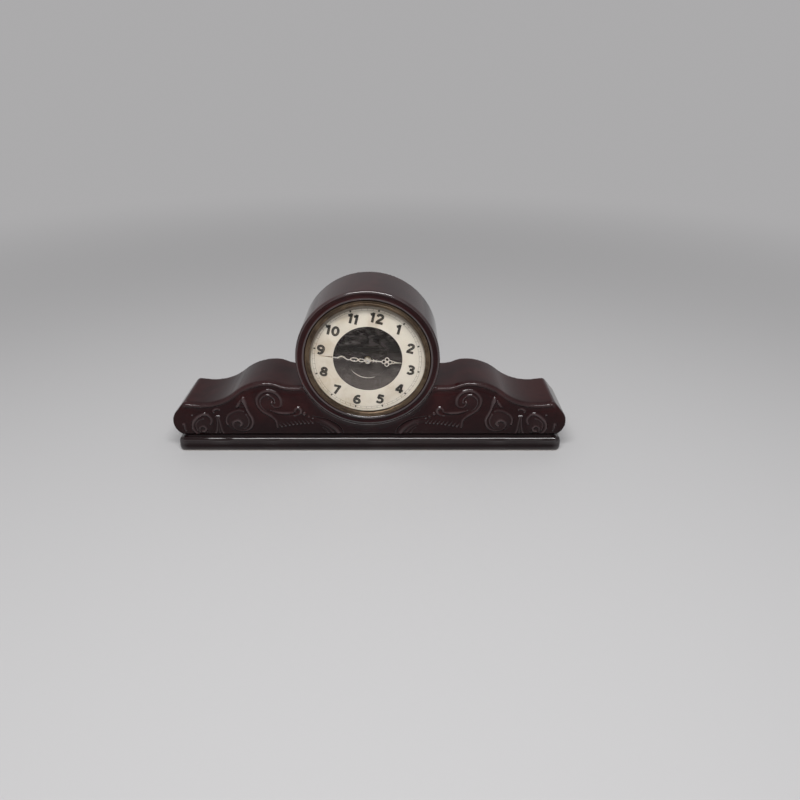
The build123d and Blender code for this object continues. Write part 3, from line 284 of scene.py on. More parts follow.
def addBump(tree, shader, height, strength, distance):
    node = addNode(tree, "Bump", {"Height": height, "Strength": strength, "Distance": distance})
    tree.links.new(node.outputs["Normal"], shader.inputs["Normal"])


glaze = {
    "dark": (0.0165, 0.0026, 0.0032),
    "warm": (0.0315, 0.0060, 0.0062),
    # lighter tone on raised lines, domes and bead: partly thin glaze, partly painted sheen
    "thinGlazeAndSheen": (0.056, 0.031, 0.032),
    "thinGlazeAndSheenCover": 0.75,
    "pooled": (0.0050, 0.0018, 0.0022),
    # painted shade: the glaze darkens and loses its red towards the foot, between these heights
    "run": (0.0068, 0.0034, 0.0038),
    "footShadeHeights": (0.014, 0.052),
    "footShadeCover": 0.85,
    "dust": (0.20, 0.18, 0.17),
    "clay": (0.50, 0.42, 0.34),
    "clayHeights": (0.0006, 0.0016),
    "clayRoughness": 0.8,
    "roughness": (0.05, 0.11),
    "ior": 1.27,
    "coatIor": 2.3,
    "coatRoughness": 0.06,
    "crestReach": 0.045,
    "crestFrom": 0.22,
    "crestGloss": 0.24,
    "scrollDulling": 0.85,
    "bump": (0.05, 0.0006),
}


def glazeFinish():
    # low gloss on the faces, and a harder coat on raised edges, less of it on the scrolls
    material, tree, shader = newFinish("Brown glaze")
    mottle = useGroup(tree, mottleGroup, Scale=26, Low=0.36, High=0.66)
    hollow = useGroup(tree, edgesGroup, Reach=0.10)["Hollow"]
    crest = useGroup(tree, edgesGroup, Reach=glaze["crestReach"])["Raised"]
    dust = useGroup(tree, dustGroup, Scale=150, Amount=0.018)["Mask"]
    raised = addNode(tree, "Attribute", attribute_name="glazeThinAndSheen").outputs["Fac"]
    height = axisOf(tree, objectPlace(tree), "Z")
    # painted shade: darker and less red towards the foot
    run = remap(tree, height, (glaze["footShadeCover"], 0.0), levels=glaze["footShadeHeights"])
    # lighter tone on the relief: partly thin glaze, partly painted sheen
    thinGlazeAndSheen = remap(tree, raised, (0.0, glaze["thinGlazeAndSheenCover"]))
    clay = remap(tree, height, (1.0, 0.0), levels=glaze["clayHeights"])
    color = blend(tree, mottle["Mask"], glaze["dark"], glaze["warm"])
    for mask, tone in ((run, "run"), (hollow, "pooled"), (thinGlazeAndSheen, "thinGlazeAndSheen"), (dust, "dust"), (clay, "clay")):
        color = blend(tree, mask, color, glaze[tone])
    fine = remap(tree, mottle["Fine"], glaze["roughness"])
    rough = combine(tree, "MAXIMUM", fine, remap(tree, clay, (0.0, glaze["clayRoughness"])))
    sharp = remap(tree, crest, levels=(glaze["crestFrom"], 1.0))
    less = combine(tree, "SUBTRACT", sharp, remap(tree, raised, (0.0, glaze["scrollDulling"])))
    gloss = combine(tree, "MAXIMUM", less, remap(tree, raised, (0.0, glaze["crestGloss"])), clamp=True)
    feed(tree, shader, {"Base Color": color, "Roughness": rough, "IOR": glaze["ior"], "Coat Weight": gloss,
                        "Coat IOR": glaze["coatIor"], "Coat Roughness": glaze["coatRoughness"]})
    addBump(tree, shader, mottle["Mask"], *glaze["bump"])
    return material


metal = {
    "edgeReach": 0.12,
    # the hands darken beyond these distances from the axis: partly tarnish, partly painted shade
    "darkTipReach": {"Inner": 0.0330, "Outer": 0.0345},
    "tarnishRoughness": 0.22,
    "rust": (0.10, 0.055, 0.030),
    "rustScale": 1.7,
    "rustLevels": {"Low": 0.54, "High": 0.70},
    "bump": (0.05, 0.0002),
}


def metalFinish(name, bright, dull, roughness, scale, low, high, rust=0.0, tarnishAndShadeTip=None):
    # metal whose polish is broken by patches of tarnish and rust, with rubbed edges or a darker tip, partly tarnish
    # and partly painted shade
    material, tree, shader = newFinish(name)
    mottle = useGroup(tree, mottleGroup, Scale=scale, Low=low, High=high)
    color = blend(tree, mottle["Mask"], bright, dull)
    if tarnishAndShadeTip:
        # darker tip beyond the dark centre: partly tarnish, partly painted shade
        color = blend(tree, useGroup(tree, roundGroup, **metal["darkTipReach"])["Mask"], color, tarnishAndShadeTip)
    else:
        color = blend(tree, useGroup(tree, edgesGroup, Reach=metal["edgeReach"])["Raised"], color, bright)
    metallic = 1.0
    if rust:
        spots = useGroup(tree, mottleGroup, Scale=scale * metal["rustScale"], **metal["rustLevels"])["Mask"]
        color = blend(tree, spots, color, metal["rust"], rust)
        metallic = remap(tree, spots, (1.0, 1.0 - rust))
    rough = remap(tree, mottle["Mask"], (roughness, roughness + metal["tarnishRoughness"]))
    feed(tree, shader, {"Base Color": color, "Roughness": rough, "Metallic": metallic})
    addBump(tree, shader, mottle["Fine"], *metal["bump"])
    return material


paint = {
    # painted shadow of the bezel: a darker crescent at the top of the dial, the mask lowered so that it reaches in
    # only at the top
    "paintedShadowCrescent": {"Inner": 0.0545, "Outer": 0.0557, "Lower": 0.0040},
    "paintedShadowCover": 0.8,
    "smoother": 0.08,
    "rougher": 0.12,
    "bump": (0.06, 0.0002),
}


def paintFinish(name, clean, stained, edge, roughness, scale, low, high):
    # dial paint, yellowed in patches and specked, with a painted shadow of the bezel as a darker crescent along the
    # top
    material, tree, shader = newFinish(name)
    mottle = useGroup(tree, mottleGroup, Scale=scale, Low=low, High=high)
    # painted shadow: the crescent where the bezel's shade falls, in the colour given as edge
    rim = useGroup(tree, roundGroup, **paint["paintedShadowCrescent"])["Mask"]
    color = blend(tree, mottle["Mask"], clean, stained)
    color = blend(tree, rim, color, edge, paint["paintedShadowCover"])
    rough = remap(tree, mottle["Fine"], (roughness - paint["smoother"], roughness + paint["rougher"]))
    feed(tree, shader, {"Base Color": color, "Roughness": rough})
    addBump(tree, shader, mottle["Fine"], *paint["bump"])
    return material


disc = {
    # painted reflection: the centre goes from the upper tone to the paler lower tone downwards, between these heights
    "upper": (0.0050, 0.0032, 0.0026),
    "lower": (0.080, 0.068, 0.062),
    "paintedReflectionHeights": (0.016, -0.030),  # from the dial's axis
    "grain": (0.004, 0.003, 0.0026),
    "grainCover": 0.35,
    "smudge": (0.115, 0.101, 0.092),
    "smudgeCover": 0.26,
    "scratch": (0.15, 0.135, 0.125),
    "scratchCover": 0.4,
    "scratchLevels": (0.54, 0.70),
    "scratchLean": (0, 0.9, 0),
    "scratchScale": (150, 60, 420),
    "roughness": (0.35, 0.6),
    "ior": 1.15,
    "bump": (0.08, 0.0002),
}


def smudgedFinish():
    # dark dial centre with a painted reflection that makes it paler downwards, cloudy smudges and fine scratches
    material, tree, shader = newFinish("Dark dial centre")
    cloud = useGroup(tree, mottleGroup, Scale=120, Low=0.47, High=0.68)
    grain = useGroup(tree, mottleGroup, Scale=300, Low=0.40, High=0.70)
    # painted reflection of the pale floor in the glass: paler towards the bottom
    paintedReflection = remap(tree, useGroup(tree, roundGroup)["Height"], levels=disc["paintedReflectionHeights"], smooth=True)
    stretch = {"Vector": objectPlace(tree), "Rotation": disc["scratchLean"], "Scale": disc["scratchScale"]}
    scratch = noise(tree, addNode(tree, "Mapping", stretch).outputs["Vector"], 1.0, 3, distortion=1.2)
    line = remap(tree, scratch, (0.0, disc["scratchCover"]), levels=disc["scratchLevels"])
    color = blend(tree, paintedReflection, disc["upper"], disc["lower"])
    color = blend(tree, grain["Mask"], color, disc["grain"], disc["grainCover"])
    color = blend(tree, cloud["Mask"], color, disc["smudge"], disc["smudgeCover"])
    color = blend(tree, line, color, disc["scratch"])
    rough = remap(tree, grain["Fine"], disc["roughness"])
    feed(tree, shader, {"Base Color": color, "Roughness": rough, "IOR": disc["ior"]})
    addBump(tree, shader, grain["Fine"], *disc["bump"])
    return material


def glassFinish():
    # lets light through to the dial without a shadow
    material, tree, shader = newFinish("Clear dome glass")
    feed(tree, shader, {"Base Color": (1, 1, 1, 1), "Roughness": 0.01, "IOR": 1.20, "Transmission Weight": 1.0})
    shadow = addNode(tree, "LightPath").outputs["Is Shadow Ray"]
    clear = addNode(tree, "BsdfTransparent")
    mixShaders(tree, shadow, shader.outputs["BSDF"], clear.outputs["BSDF"], "Material Output")
    return material


# Colours, roughness, then the patches' scale and noise levels
finishes = {
    "glaze": glazeFinish(),
    "bezel_brass": metalFinish("Tarnished bezel brass", (0.165, 0.118, 0.078), (0.062, 0.044, 0.033),
                               0.28, 60, 0.32, 0.62),
    "glass": glassFinish(),
    "dial_dark": smudgedFinish(),
    # the third colour is the painted shadow crescent's
    "dial_cream": paintFinish("Aged cream paint with painted shadow", (0.53, 0.485, 0.41), (0.43, 0.365, 0.28),
                              (0.17, 0.13, 0.095), 0.45, 34, 0.40, 0.70),
    # the hands' tips are darkened: partly tarnish, partly painted shade
    "hand_brass": metalFinish("Pale hand brass", (0.80, 0.75, 0.66), (0.50, 0.44, 0.35),
                              0.24, 220, 0.42, 0.75, tarnishAndShadeTip=(0.16, 0.11, 0.07)),
    "tin": metalFinish("Tinned steel", (0.56, 0.54, 0.50), (0.27, 0.245, 0.21), 0.30, 45, 0.38, 0.64, rust=0.7),
    "steel": metalFinish("Polished steel", (0.50, 0.49, 0.48), (0.26, 0.235, 0.21), 0.22, 140, 0.42, 0.70, rust=0.5),
    "blue_steel": metalFinish("Blued spring steel", (0.16, 0.19, 0.30), (0.10, 0.10, 0.13), 0.25, 140, 0.4, 0.7),
    "movement_brass": metalFinish("Brushed movement brass", (0.74, 0.54, 0.24), (0.50, 0.34, 0.14),
                                  0.25, 70, 0.4, 0.72),
    "knob_brass": metalFinish("Worn knob brass", (0.66, 0.48, 0.22), (0.32, 0.21, 0.09), 0.24, 90, 0.38, 0.68),
}
# the third colour darkens the ink inside the painted shadow crescent
numeralInk = paintFinish("Dial ink", (0.012, 0.009, 0.006), (0.045, 0.032, 0.018), (0.02, 0.014, 0.01),
                         0.3, 260, 0.45, 0.7)

for part in frame["record"]["subparts"]:
    for slot in nodes[part["node"]].material_slots:
        slot.material = finishes[part["material_slot"]]
print("finishes on", len(nodes), "nodes")


def addPiece(name, mesh, slot, body="case", material=None):
    piece = bpy.data.objects.new(name, mesh)
    bpy.context.scene.collection.objects.link(piece)
    mesh.materials.clear()
    mesh.materials.append(material or finishes[slot])
    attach(piece, body)
    return piece


def meshFrom(shape, name):
    mesh = bpy.data.meshes.new(name)
    shape.to_mesh(mesh)
    shape.free()
    return mesh


# Glazed case: the CAD case's skin, softened as a glaze softens a mould's edges, with its front modelled in relief.
# Relief places are millimetres across from the middle (both sides alike) and up from the table.
skin = {
    "voxel": 1.3 * mm,
    "softening": 3,
    "softWeight": 0.5,
    "settling": 1,
    "settleWeight": 0.4,
    "footHeld": 1.2 * mm,  # the skin isn't softened below this height
    "fineFacing": 0.45,  # faces that look to the front more than this are made finer
    "frontFrom": 16.0 * mm,
    "fineInset": 2.0 * mm,  # the front is modelled from this far inside the drum's radius
    "fineFrom": 26.0 * mm,
    "fineHeights": (17.0 * mm, 80.0 * mm),
    "frontFacing": (0.30, 0.75),
    "frontDepth": 4.0 * mm,
    "reliefFoot": (17.6 * mm, 20.5 * mm),
    "drumRadius": 69.5 * mm,
    "drumEdge": 0.5 * mm,
    "wall": (0.05 * mm, 84.0 * mm, 0.9 * mm, 0.6),  # inset, lowest height, reach, limit of facing front or back
    "lipOuter": 63.0 * mm,
    # radius and setback behind the lip, in millimetres: mouth, inner bead, cove, rim, drum
    "lipSection": [(60.5, 5), (60.5, 1.6), (60.62, 0.95), (60.95, 0.42), (61.45, 0.1), (62, 0), (62.6, 0.12),
                   (63.1, 0.45), (63.7, 0.95), (64.5, 1.3), (65.4, 1.38), (66.2, 1.15), (66.9, 0.8), (67.5, 0.6),
                   (68.1, 0.6), (68.6, 0.78), (69, 1.15), (69.3, 1.7), (69.44, 2.5), (69.44, 4.6)],
    "lipSteps": 288,
    "lipCut": (59.6 * mm, 0.2 * mm, 4.2 * mm),  # skin that the lip replaces: radius, inset from the drum, depth
    "plinthCut": (14.4 * mm, 10.5 * mm),  # skin that the plinth replaces: height, inset from its outline
    "collarFlare": 11.0 * mm,
    "collarEdges": (1.5 * mm, 2.0 * mm),  # inside and outside the drum's radius
    "collarTurn": (0.15, 1.0),
    "wingClear": 3.0 * mm,  # the wing's top edge is read from this far outside the drum
    "wingStart": (1.0 * mm, 7.0 * mm),  # the bead begins this far outside the drum
    "wingEnd": (184.0 * mm, 188.0 * mm),
    "beadWidth": 2.3 * mm,
    "beadHeight": 1.0 * mm,
    "groove": (0.5 * mm, 3.1, 1.3),  # depth, then place and half width in widths of the bead
    "footRatio": 1.75,
    "beadFoot": 1.25,
    "ridgeCurve": 1.5,
    "beadCurve": 1.2,
    "domeCurve": 0.8,
    # lighter tone on the relief, partly thin glaze and partly painted sheen
    "thinGlazeAndSheen": (1.5, 0.08, 0.45),  # the glaze runs thin on lines this high, and by these shares on domes and bead
}

# Plinth, swept round the foot: inset from its outline and height, in millimetres
plinth = {
    "outline": (197.0 * mm, wingFront - 3 * mm, caseHigh.y, 7.0 * mm),  # half width, front, back, corner radius
    "section": [(12.6, 0), (3, 0), (1.9, 0.12), (0.9, 0.55), (0.25, 1.3), (0, 2.4), (0, 6), (0.05, 9.2),
                (0.4, 10.9), (1, 12.1), (1.62, 12.95), (1.9, 13.25), (2.9, 14.2), (3.2, 14.4), (3.7, 14.5), (9, 14.5)],
    "wave": 0.16,  # unevenness of its edge, in millimetres
    "waves": ((1.0, 9.0, 0.0), (0.8, 23.0, 1.3), (0.5, 4.1, 0.6)),  # share, length and start
    "waveInsets": (0.4, 4),
    "step": 2.5 * mm,
    "cornerSteps": 13,
}

# Domes: middle, half width and half height, rise
domes = [
    ((99.6, 56.6), (12.4, 11.0), 1.2),
    ((131.2, 34.2), (14.4, 12.4), 1.7),
    ((169.6, 30.4), (11.0, 12.2), 1.4),
]

# Ridges: points that the crest passes through, half widths and heights from its start to its end
ridges = [
    # upper volute: outer line from the eye over the hood and down the stem, inner line, eye
    ([(96.6, 53), (94, 50.2), (90.6, 49.8), (88.2, 52.2), (87.3, 56.5), (88.4, 61), (91.2, 64.8), (95.2, 67.2),
      (100, 68), (105, 66.8), (109, 63.6), (111.4, 59), (111.6, 54), (110, 49.4), (106.6, 45.2), (102.4, 42),
      (98.2, 39.2), (95.2, 36), (93.8, 32), (93.4, 26.6)],
     (0.7, 1.3, 1.3, 1.2, 1.1), (0.7, 1.4, 1.2, 1.2, 1.1)),
    ([(94, 55.4), (94.3, 59.4), (97, 62.4), (101, 63.4), (105, 62), (107.8, 58.6), (108.4, 54), (106.9, 49.4),
      (103.6, 45.6)],
     (0.8, 0.8), (0.8, 1, 0.6)),
    # inner stem and the curl at its end
    ([(98.5, 46), (93, 44.2), (87, 43.2), (81, 43), (76.6, 43.6)], (0.8, 1.2, 1.3, 0.9), (0.7, 1.3, 1.4, 0.7)),
    ([(74.6, 45.2), (73.6, 47.6), (71.4, 48.9), (69.2, 48), (68.2, 45.6), (69, 43), (71.6, 41.2), (75.4, 40)],
     (1, 1.3, 1.2, 0.8), (1, 1.7, 1.5, 0.5)),
    # leaf that runs in under the drum, and its veins
    ([(57, 33.8), (50.5, 33.2), (44.2, 31.6), (38.6, 28.4), (34.2, 24.6), (31.4, 20)],
     (1.2, 1.7, 1.7), (0.3, 0.9, 1.3)),
    ([(49, 30.4), (44.6, 28.4), (40.8, 25.4), (37.6, 21)], (0.8, 1.1), (0.4, 0.9)),
    ([(47, 26.4), (44, 23.6), (42, 20)], (0.7, 0.9), (0.3, 0.6)),
    # middle volute: from its bud down the inner side and round to the eye, inner line, arch on the outer side
    ([(124.9, 58.4), (124.2, 55), (123.4, 51), (122.4, 47), (120.4, 42.4), (118.4, 38), (117.8, 33.4),
      (118.8, 29), (121.4, 25.4), (125.4, 23.2), (130, 22.6), (134.6, 23.8), (137.4, 26.6), (138.2, 30.4),
      (136.6, 33.9), (133.2, 35.6), (129.9, 34.4), (128.9, 31.4), (130.4, 29.4)],
     (1.4, 1.2, 1.1, 0.9, 1.2, 1.2), (1.9, 1.5, 1.4, 0.5, 1.3, 1.5)),
    ([(123.6, 41.6), (121.7, 36.8), (121.8, 32), (123.6, 28.2), (126.8, 25.6)], (0.8, 0.8), (0.8, 1, 0.4)),
    ([(126.4, 45.2), (131, 46), (136, 44.9), (140.8, 42), (143.8, 38), (144.6, 33.8), (143.9, 30.8)],
     (0.9, 1.1), (0.6, 1.4)),
    # bud above the middle volute, in two lobes
    ([(125.3, 59.2), (124.7, 56.2), (123.8, 52.4), (122.8, 48.4)], (1.5, 1.9, 1.3, 0.8), (1.6, 2, 1.5, 0.9)),
    ([(128.4, 56.8), (129.8, 54), (131.4, 51.2), (132.2, 49)], (0.7, 1.3, 1.2, 0.8), (0.9, 1.5, 1.3, 0.6)),
    # pillar between the volutes: curled cap, ring and three flutes
    ([(150.4, 46.9), (152.4, 47.5), (154.6, 47.1), (156.6, 45.6), (156.3, 43.9)],
     (0.9, 1.1, 0.8), (0.9, 1.5, 0.8)),
    ([(151, 39.2), (154.4, 39.2)], (0.8, 0.8), (1.2, 1.2)),
    ([(153.6, 37.8), (154.2, 30), (155.4, 23), (157.6, 18)], (0.8, 0.9), (0.9, 1)),
    ([(152, 37.8), (151, 30), (150.3, 23), (148.3, 18)], (0.8, 1), (0.9, 1.3)),
    ([(152.8, 36.4), (152.8, 20)], (0.6, 0.8), (0.5, 0.5)),
    # outer volute: outer line, inner line, eye
    ([(160.7, 31), (159.4, 34.6), (160.4, 38.4), (163.4, 41.2), (167.4, 41.7), (171.6, 39.8), (175.4, 36.6),
      (178.4, 32.4), (179.6, 27.6), (178.6, 22.8), (175.6, 18.8)],
     (1, 1.3, 1.1), (1.1, 1.5, 1.2)),
    ([(167.6, 37), (171.6, 35.6), (174.8, 32.2), (176, 28), (175.2, 24)], (0.7, 0.9), (0.5, 0.9)),
    ([(172.8, 22.4), (172.5, 26), (170.2, 28.4), (167.3, 28), (165.9, 25.4), (167.2, 22.9), (169.6, 22.6)],
     (0.9, 1.1), (0.9, 1.5)),
    # drop at the end of the wing
    ([(188.2, 30.2), (187.6, 27), (187, 22.6)], (1.3, 0.8), (1.5, 0.6)),
]

# Grooves: as the ridges, cut in
grooves = [
    ([(58, 38.3), (51, 36.8), (44.5, 34.9), (38.5, 32), (33.4, 28.4), (29.8, 24.4), (28.2, 20.4)],
     (0.8, 1.2, 1.1), (0.5, 1, 0.8)),
    ([(95, 42.2), (88, 41.1), (80, 40.9), (75, 41.8)], (0.7, 0.8), (0.3, 0.6)),
    ([(94.9, 56.8), (95.6, 58.8), (97.6, 59.4), (99.4, 58.2)], (0.8, 0.8), (0.6, 0.6)),
    ([(121.4, 48), (126, 48.6), (131, 48.5), (135, 47.6)], (0.8, 0.8), (0.5, 0.3)),
]

# Beads: place, radius, height
beads = [
    ((96.8, 55.2), 1.5, 1.4), ((65.3, 42.0), 1.9, 1.6), ((60.8, 39.1), 1.6, 1.3), ((57.0, 37.4), 1.2, 0.8),
    ((124.9, 58.6), 2.1, 1.9), ((130.1, 53.6), 1.5, 1.4), ((132.4, 50.3), 1.3, 1.2), ((143.9, 30.6), 1.7, 1.6),
    ((178.5, 40.6), 1.2, 1.0), ((130.6, 29.8), 1.4, 1.2), ((177.2, 19.6), 1.3, 1.0),
]

# Feathered fringe under the inner stem: slanted ribs along a bowed line, each with a bead at its foot
fringe = {
    "start": (89.0, 27.6), "end": (57.6, 31.8), "bow": 0.9, "count": 9, "lean": (4.0, 5.0),
    "widths": (0.75, 0.75), "heights": (0.8, 0.1), "bead": (1.2, 1.25),
}


def smoothStep(low, high, value):
    share = np.clip((value - low) / (high - low), 0, 1)
    return share * share * (3 - 2 * share)


def curveThrough(points, steps=6):
    # Catmull-Rom curve through a few points
    points = np.array(points, float)
    ends = np.vstack([2 * points[0] - points[1], points, 2 * points[-1] - points[-2]])
    run = []
    for i in range(len(points) - 1):
        a, b, c, d = ends[i:i + 4]
        bend, twist = 2 * a - 5 * b + 4 * c - d, 3 * b - a - 3 * c + d
        for t in np.arange(steps) / steps:
            run.append(0.5 * (2 * b + (c - a) * t + bend * t**2 + twist * t**3))
    run.append(points[-1])
    return np.array(run)


def hump(away, curve):
    # rounded rise, gone where away reaches 1
    return np.clip(1 - away**2, 0, None)**curve


def ridgeHeight(x, z, path, widths, heights):
    # height of a rounded ridge along a path, at each point
    best = np.zeros_like(x)
    share = np.linspace(0, 1, len(path))
    half = skin["footRatio"] * np.interp(share, np.linspace(0, 1, len(widths)), widths)
    crest = np.interp(share, np.linspace(0, 1, len(heights)), heights)
    for i in range(len(path) - 1):
        ax, az = path[i]
        bx, bz = path[i + 1]
        reach = max(half[i], half[i + 1])
        near = (x > min(ax, bx) - reach) & (x < max(ax, bx) + reach)
        near &= (z > min(az, bz) - reach) & (z < max(az, bz) + reach)
        if not near.any():
            continue
        px, pz = x[near], z[near]
        t = np.clip(((px - ax) * (bx - ax) + (pz - az) * (bz - az)) / ((bx - ax)**2 + (bz - az)**2), 0, 1)
        away = np.hypot(px - ax - t * (bx - ax), pz - az - t * (bz - az)) / (half[i] + t * (half[i + 1] - half[i]))
        rise = (crest[i] + t * (crest[i + 1] - crest[i])) * hump(away, skin["ridgeCurve"])
        best[near] = np.maximum(best[near], rise)
    return best


def beadHeight(x, z, middle, radius, rise):
    away = np.hypot(x - middle[0], z - middle[1]) / (radius * skin["beadFoot"])
    return rise * hump(away, skin["beadCurve"])


def reliefHeight(x, z):
    # scrollwork in millimetres, for places in millimetres: low domes, and the lines and beads drawn on them
    x = np.abs(x)
    strokes = [(curveThrough(points), *sizes) for points, *sizes in ridges]
    dots = list(beads)
    first, last = np.array(fringe["start"]), np.array(fringe["end"])
    for i in range(fringe["count"]):
        share = i / (fringe["count"] - 1)
        foot = first + (last - first) * share + np.array((0, fringe["bow"] * sin(pi * share)))
        strokes.append((np.array([foot, foot + np.array(fringe["lean"])]), fringe["widths"], fringe["heights"]))
        dots.append((foot, *fringe["bead"]))
    line = reduce(np.maximum, (ridgeHeight(x, z, *stroke) for stroke in strokes))
    line = reduce(np.maximum, (beadHeight(x, z, *dot) for dot in dots), line)
    dome = reduce(np.maximum, (rise * np.clip(1 - ((x - cx) / rx)**2 - ((z - cz) / rz)**2, 0, None)**skin["domeCurve"]
                               for (cx, cz), (rx, rz), rise in domes))
    cut = reduce(np.maximum, (ridgeHeight(x, z, curveThrough(points), *sizes) for points, *sizes in grooves))
    return line, dome, cut


def meshArrays(mesh):
    place = np.empty(len(mesh.vertices) * 3)
    mesh.vertices.foreach_get("co", place)
    normal = np.empty(len(mesh.vertices) * 3)
    mesh.vertices.foreach_get("normal", normal)
    edges = np.empty(len(mesh.edges) * 2, int)
    mesh.edges.foreach_get("vertices", edges)
    return place.reshape(-1, 3), normal.reshape(-1, 3), edges.reshape(-1, 2)


def fromAxis(place):
    return np.hypot(place[:, 0], place[:, 2] - dialAxisZ)


def relax(place, edges, weight, rounds):
    # moves each vertex towards the mean of its neighbours
    count = np.bincount(edges.ravel(), minlength=len(place))
    for _ in range(rounds):
        mean = np.empty_like(place)
        for axis in range(3):
            total = np.bincount(edges[:, 0], place[edges[:, 1], axis], len(place))
            total += np.bincount(edges[:, 1], place[edges[:, 0], axis], len(place))
            mean[:, axis] = total / count
        place += weight[:, None] * (mean - place)
    return place


wingColumns = np.arange(201)  # millimetres from the middle to the wing's end


def wingTop(place):
    # height of the wing's top edge at each millimetre across, read from the skin outside the drum
    column = np.clip(np.rint(np.abs(place[:, 0]) / mm).astype(int), 0, wingColumns[-1])
    top = np.zeros(len(wingColumns))
    inside = (place[:, 1] > wingFront) & (place[:, 1] < caseHigh.y)
    np.maximum.at(top, column[inside], place[inside, 2])
    beside = wingColumns * mm > skin["drumRadius"] + skin["wingClear"]
    top[~beside] = top[beside][0]
    # mean of five neighbours
    return np.convolve(np.pad(top, 2, mode="edge"), np.ones(5) / 5, "valid")


def buildCase():
    work = bpy.data.objects.new("work", nodes["ceramic_case"].data.copy())
    bpy.context.scene.collection.objects.link(work)
    remesh = work.modifiers.new("Skin", "REMESH")
    remesh.mode = "VOXEL"
    remesh.voxel_size = skin["voxel"]
    mesh = bpy.data.meshes.new_from_object(work.evaluated_get(bpy.context.evaluated_depsgraph_get()))
    bpy.data.objects.remove(work)

    place, _, edges = meshArrays(mesh)
    radius = fromAxis(place)
    free = np.where(radius < skin["lipOuter"], 0.0, skin["softWeight"]) * (place[:, 2] > skin["footHeld"])
    relax(place, edges, free, skin["softening"])
    mesh.vertices.foreach_set("co", place.ravel())
    mesh.update()

    # finer faces where the front is modelled
    shape = bmesh.new()
    shape.from_mesh(mesh)
    for level in range(2):
        front = [f for f in shape.faces if -f.normal.y > skin["fineFacing"]]
        lines = {edge for face in front if isModelled(face.calc_center_median(), level) for edge in face.edges}
        bmesh.ops.subdivide_edges(shape, edges=list(lines), cuts=1, use_grid_fill=True)
    bmesh.ops.triangulate(shape, faces=[f for f in shape.faces if len(f.verts) > 4])
    shape.to_mesh(mesh)
    shape.free()

    place, normal, edges = meshArrays(mesh)
    trueDrum(place, normal)
    facing = smoothStep(*skin["frontFacing"], -normal[:, 1])
    facing *= place[:, 1] < wingFront + skin["frontDepth"]
    facing *= smoothStep(*skin["reliefFoot"], place[:, 2])
    moved, thinGlazeAndSheen = modelFront(place, facing)
    touched = (facing > 0).astype(float) * skin["settleWeight"]
    radius = fromAxis(place)
    touched[radius < skin["drumRadius"] - skin["drumEdge"]] = 0
    relax(moved, edges, touched, skin["settling"])
    mesh.vertices.foreach_set("co", moved.ravel())
    # the relief's lighter tone: partly thin glaze, partly painted sheen
    mesh.attributes.new("glazeThinAndSheen", "FLOAT", "POINT").data.foreach_set("value", thinGlazeAndSheen)
    joinLipAndPlinth(mesh)
    mesh.update()
    mesh.shade_smooth()
    piece = addPiece("glazedCase", mesh, "glaze")
    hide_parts("ceramic_case")
    print("glazed case:", len(mesh.polygons), "faces")


def trueDrum(place, normal):
    # sets the drum's wall exactly round
    radius = fromAxis(place)
    inset, lowest, reach, limit = skin["wall"]
    wall = skin["drumRadius"] - inset
    near = (np.abs(normal[:, 1]) < limit) & (place[:, 2] > lowest) & (np.abs(radius - wall) < reach)
    scale = np.where(near, wall / np.maximum(radius, mm), 1)
    place[:, 0] *= scale
    place[:, 2] = dialAxisZ + (place[:, 2] - dialAxisZ) * scale


def addRings(shape, rings, capped=False):
    # skin between closed rings of points, which capped makes a closed solid
    rows = [[shape.verts.new(spot) for spot in ring] for ring in rings]
    for low, high in zip(rows, rows[1:]):
        for i in range(len(low)):
            j = (i + 1) % len(low)
            shape.faces.new((low[i], low[j], high[j], high[i]))
    if capped:
        shape.faces.new(rows[0][::-1])
        shape.faces.new(rows[-1])


def turnedRings(profile, steps):
    # profile of radius and depth pairs, turned about the dial's axis
    turns = [2 * pi * i / steps for i in range(steps)]
    return [[(radius * sin(t), y, dialAxisZ + radius * cos(t)) for t in turns] for radius, y in profile]


def beadProfile(radius, half, y, height):
    # half round on a face at depth y
    bend = [pi * i / 8 for i in range(9)]
    return [(radius - half * cos(t), y + height * sin(t)) for t in bend]


def plinthRings():
    half, front, back, corner = plinth["outline"]
    spots, normals = [], []
    corners = ((half, front, -90), (half, back, 0), (-half, back, 90), (-half, front, 180))
    middles = [(x - np.sign(x) * corner, front + corner if y == front else back - corner) for x, y, _ in corners]
    for i, (_, _, first) in enumerate(corners):
        for turn in np.radians(np.linspace(first, first + 90, plinth["cornerSteps"])):
            way = np.array((cos(turn), sin(turn)))
            spots.append(np.array(middles[i]) + corner * way)
            normals.append(way)
        after = np.array(middles[(i + 1) % 4]) + corner * way
        steps = int(np.linalg.norm(after - spots[-1]) / plinth["step"])
        start = spots[-1]
        for k in range(1, steps):
            spots.append(start + (after - start) * k / steps)
            normals.append(way)
    spots, normals = np.array(spots), np.array(normals)
    along = spots[:, 0] / mm
    wave = plinth["wave"] * sum(share * np.sin(along / length + start) for share, length, start in plinth["waves"])
    shallow, deep = plinth["waveInsets"]
    rings = []
    for inset, height in plinth["section"]:
        uneven = wave * (shallow < inset < deep) * mm
        ring = spots - normals * (inset * mm + uneven)[:, None]
        ring[:, 0] = np.clip(ring[:, 0], inset * mm - half, half - inset * mm)
        ring[:, 1] = np.clip(ring[:, 1], front + inset * mm, back - inset * mm)
        rings.append([(x, y, height * mm) for x, y in ring])
    return rings


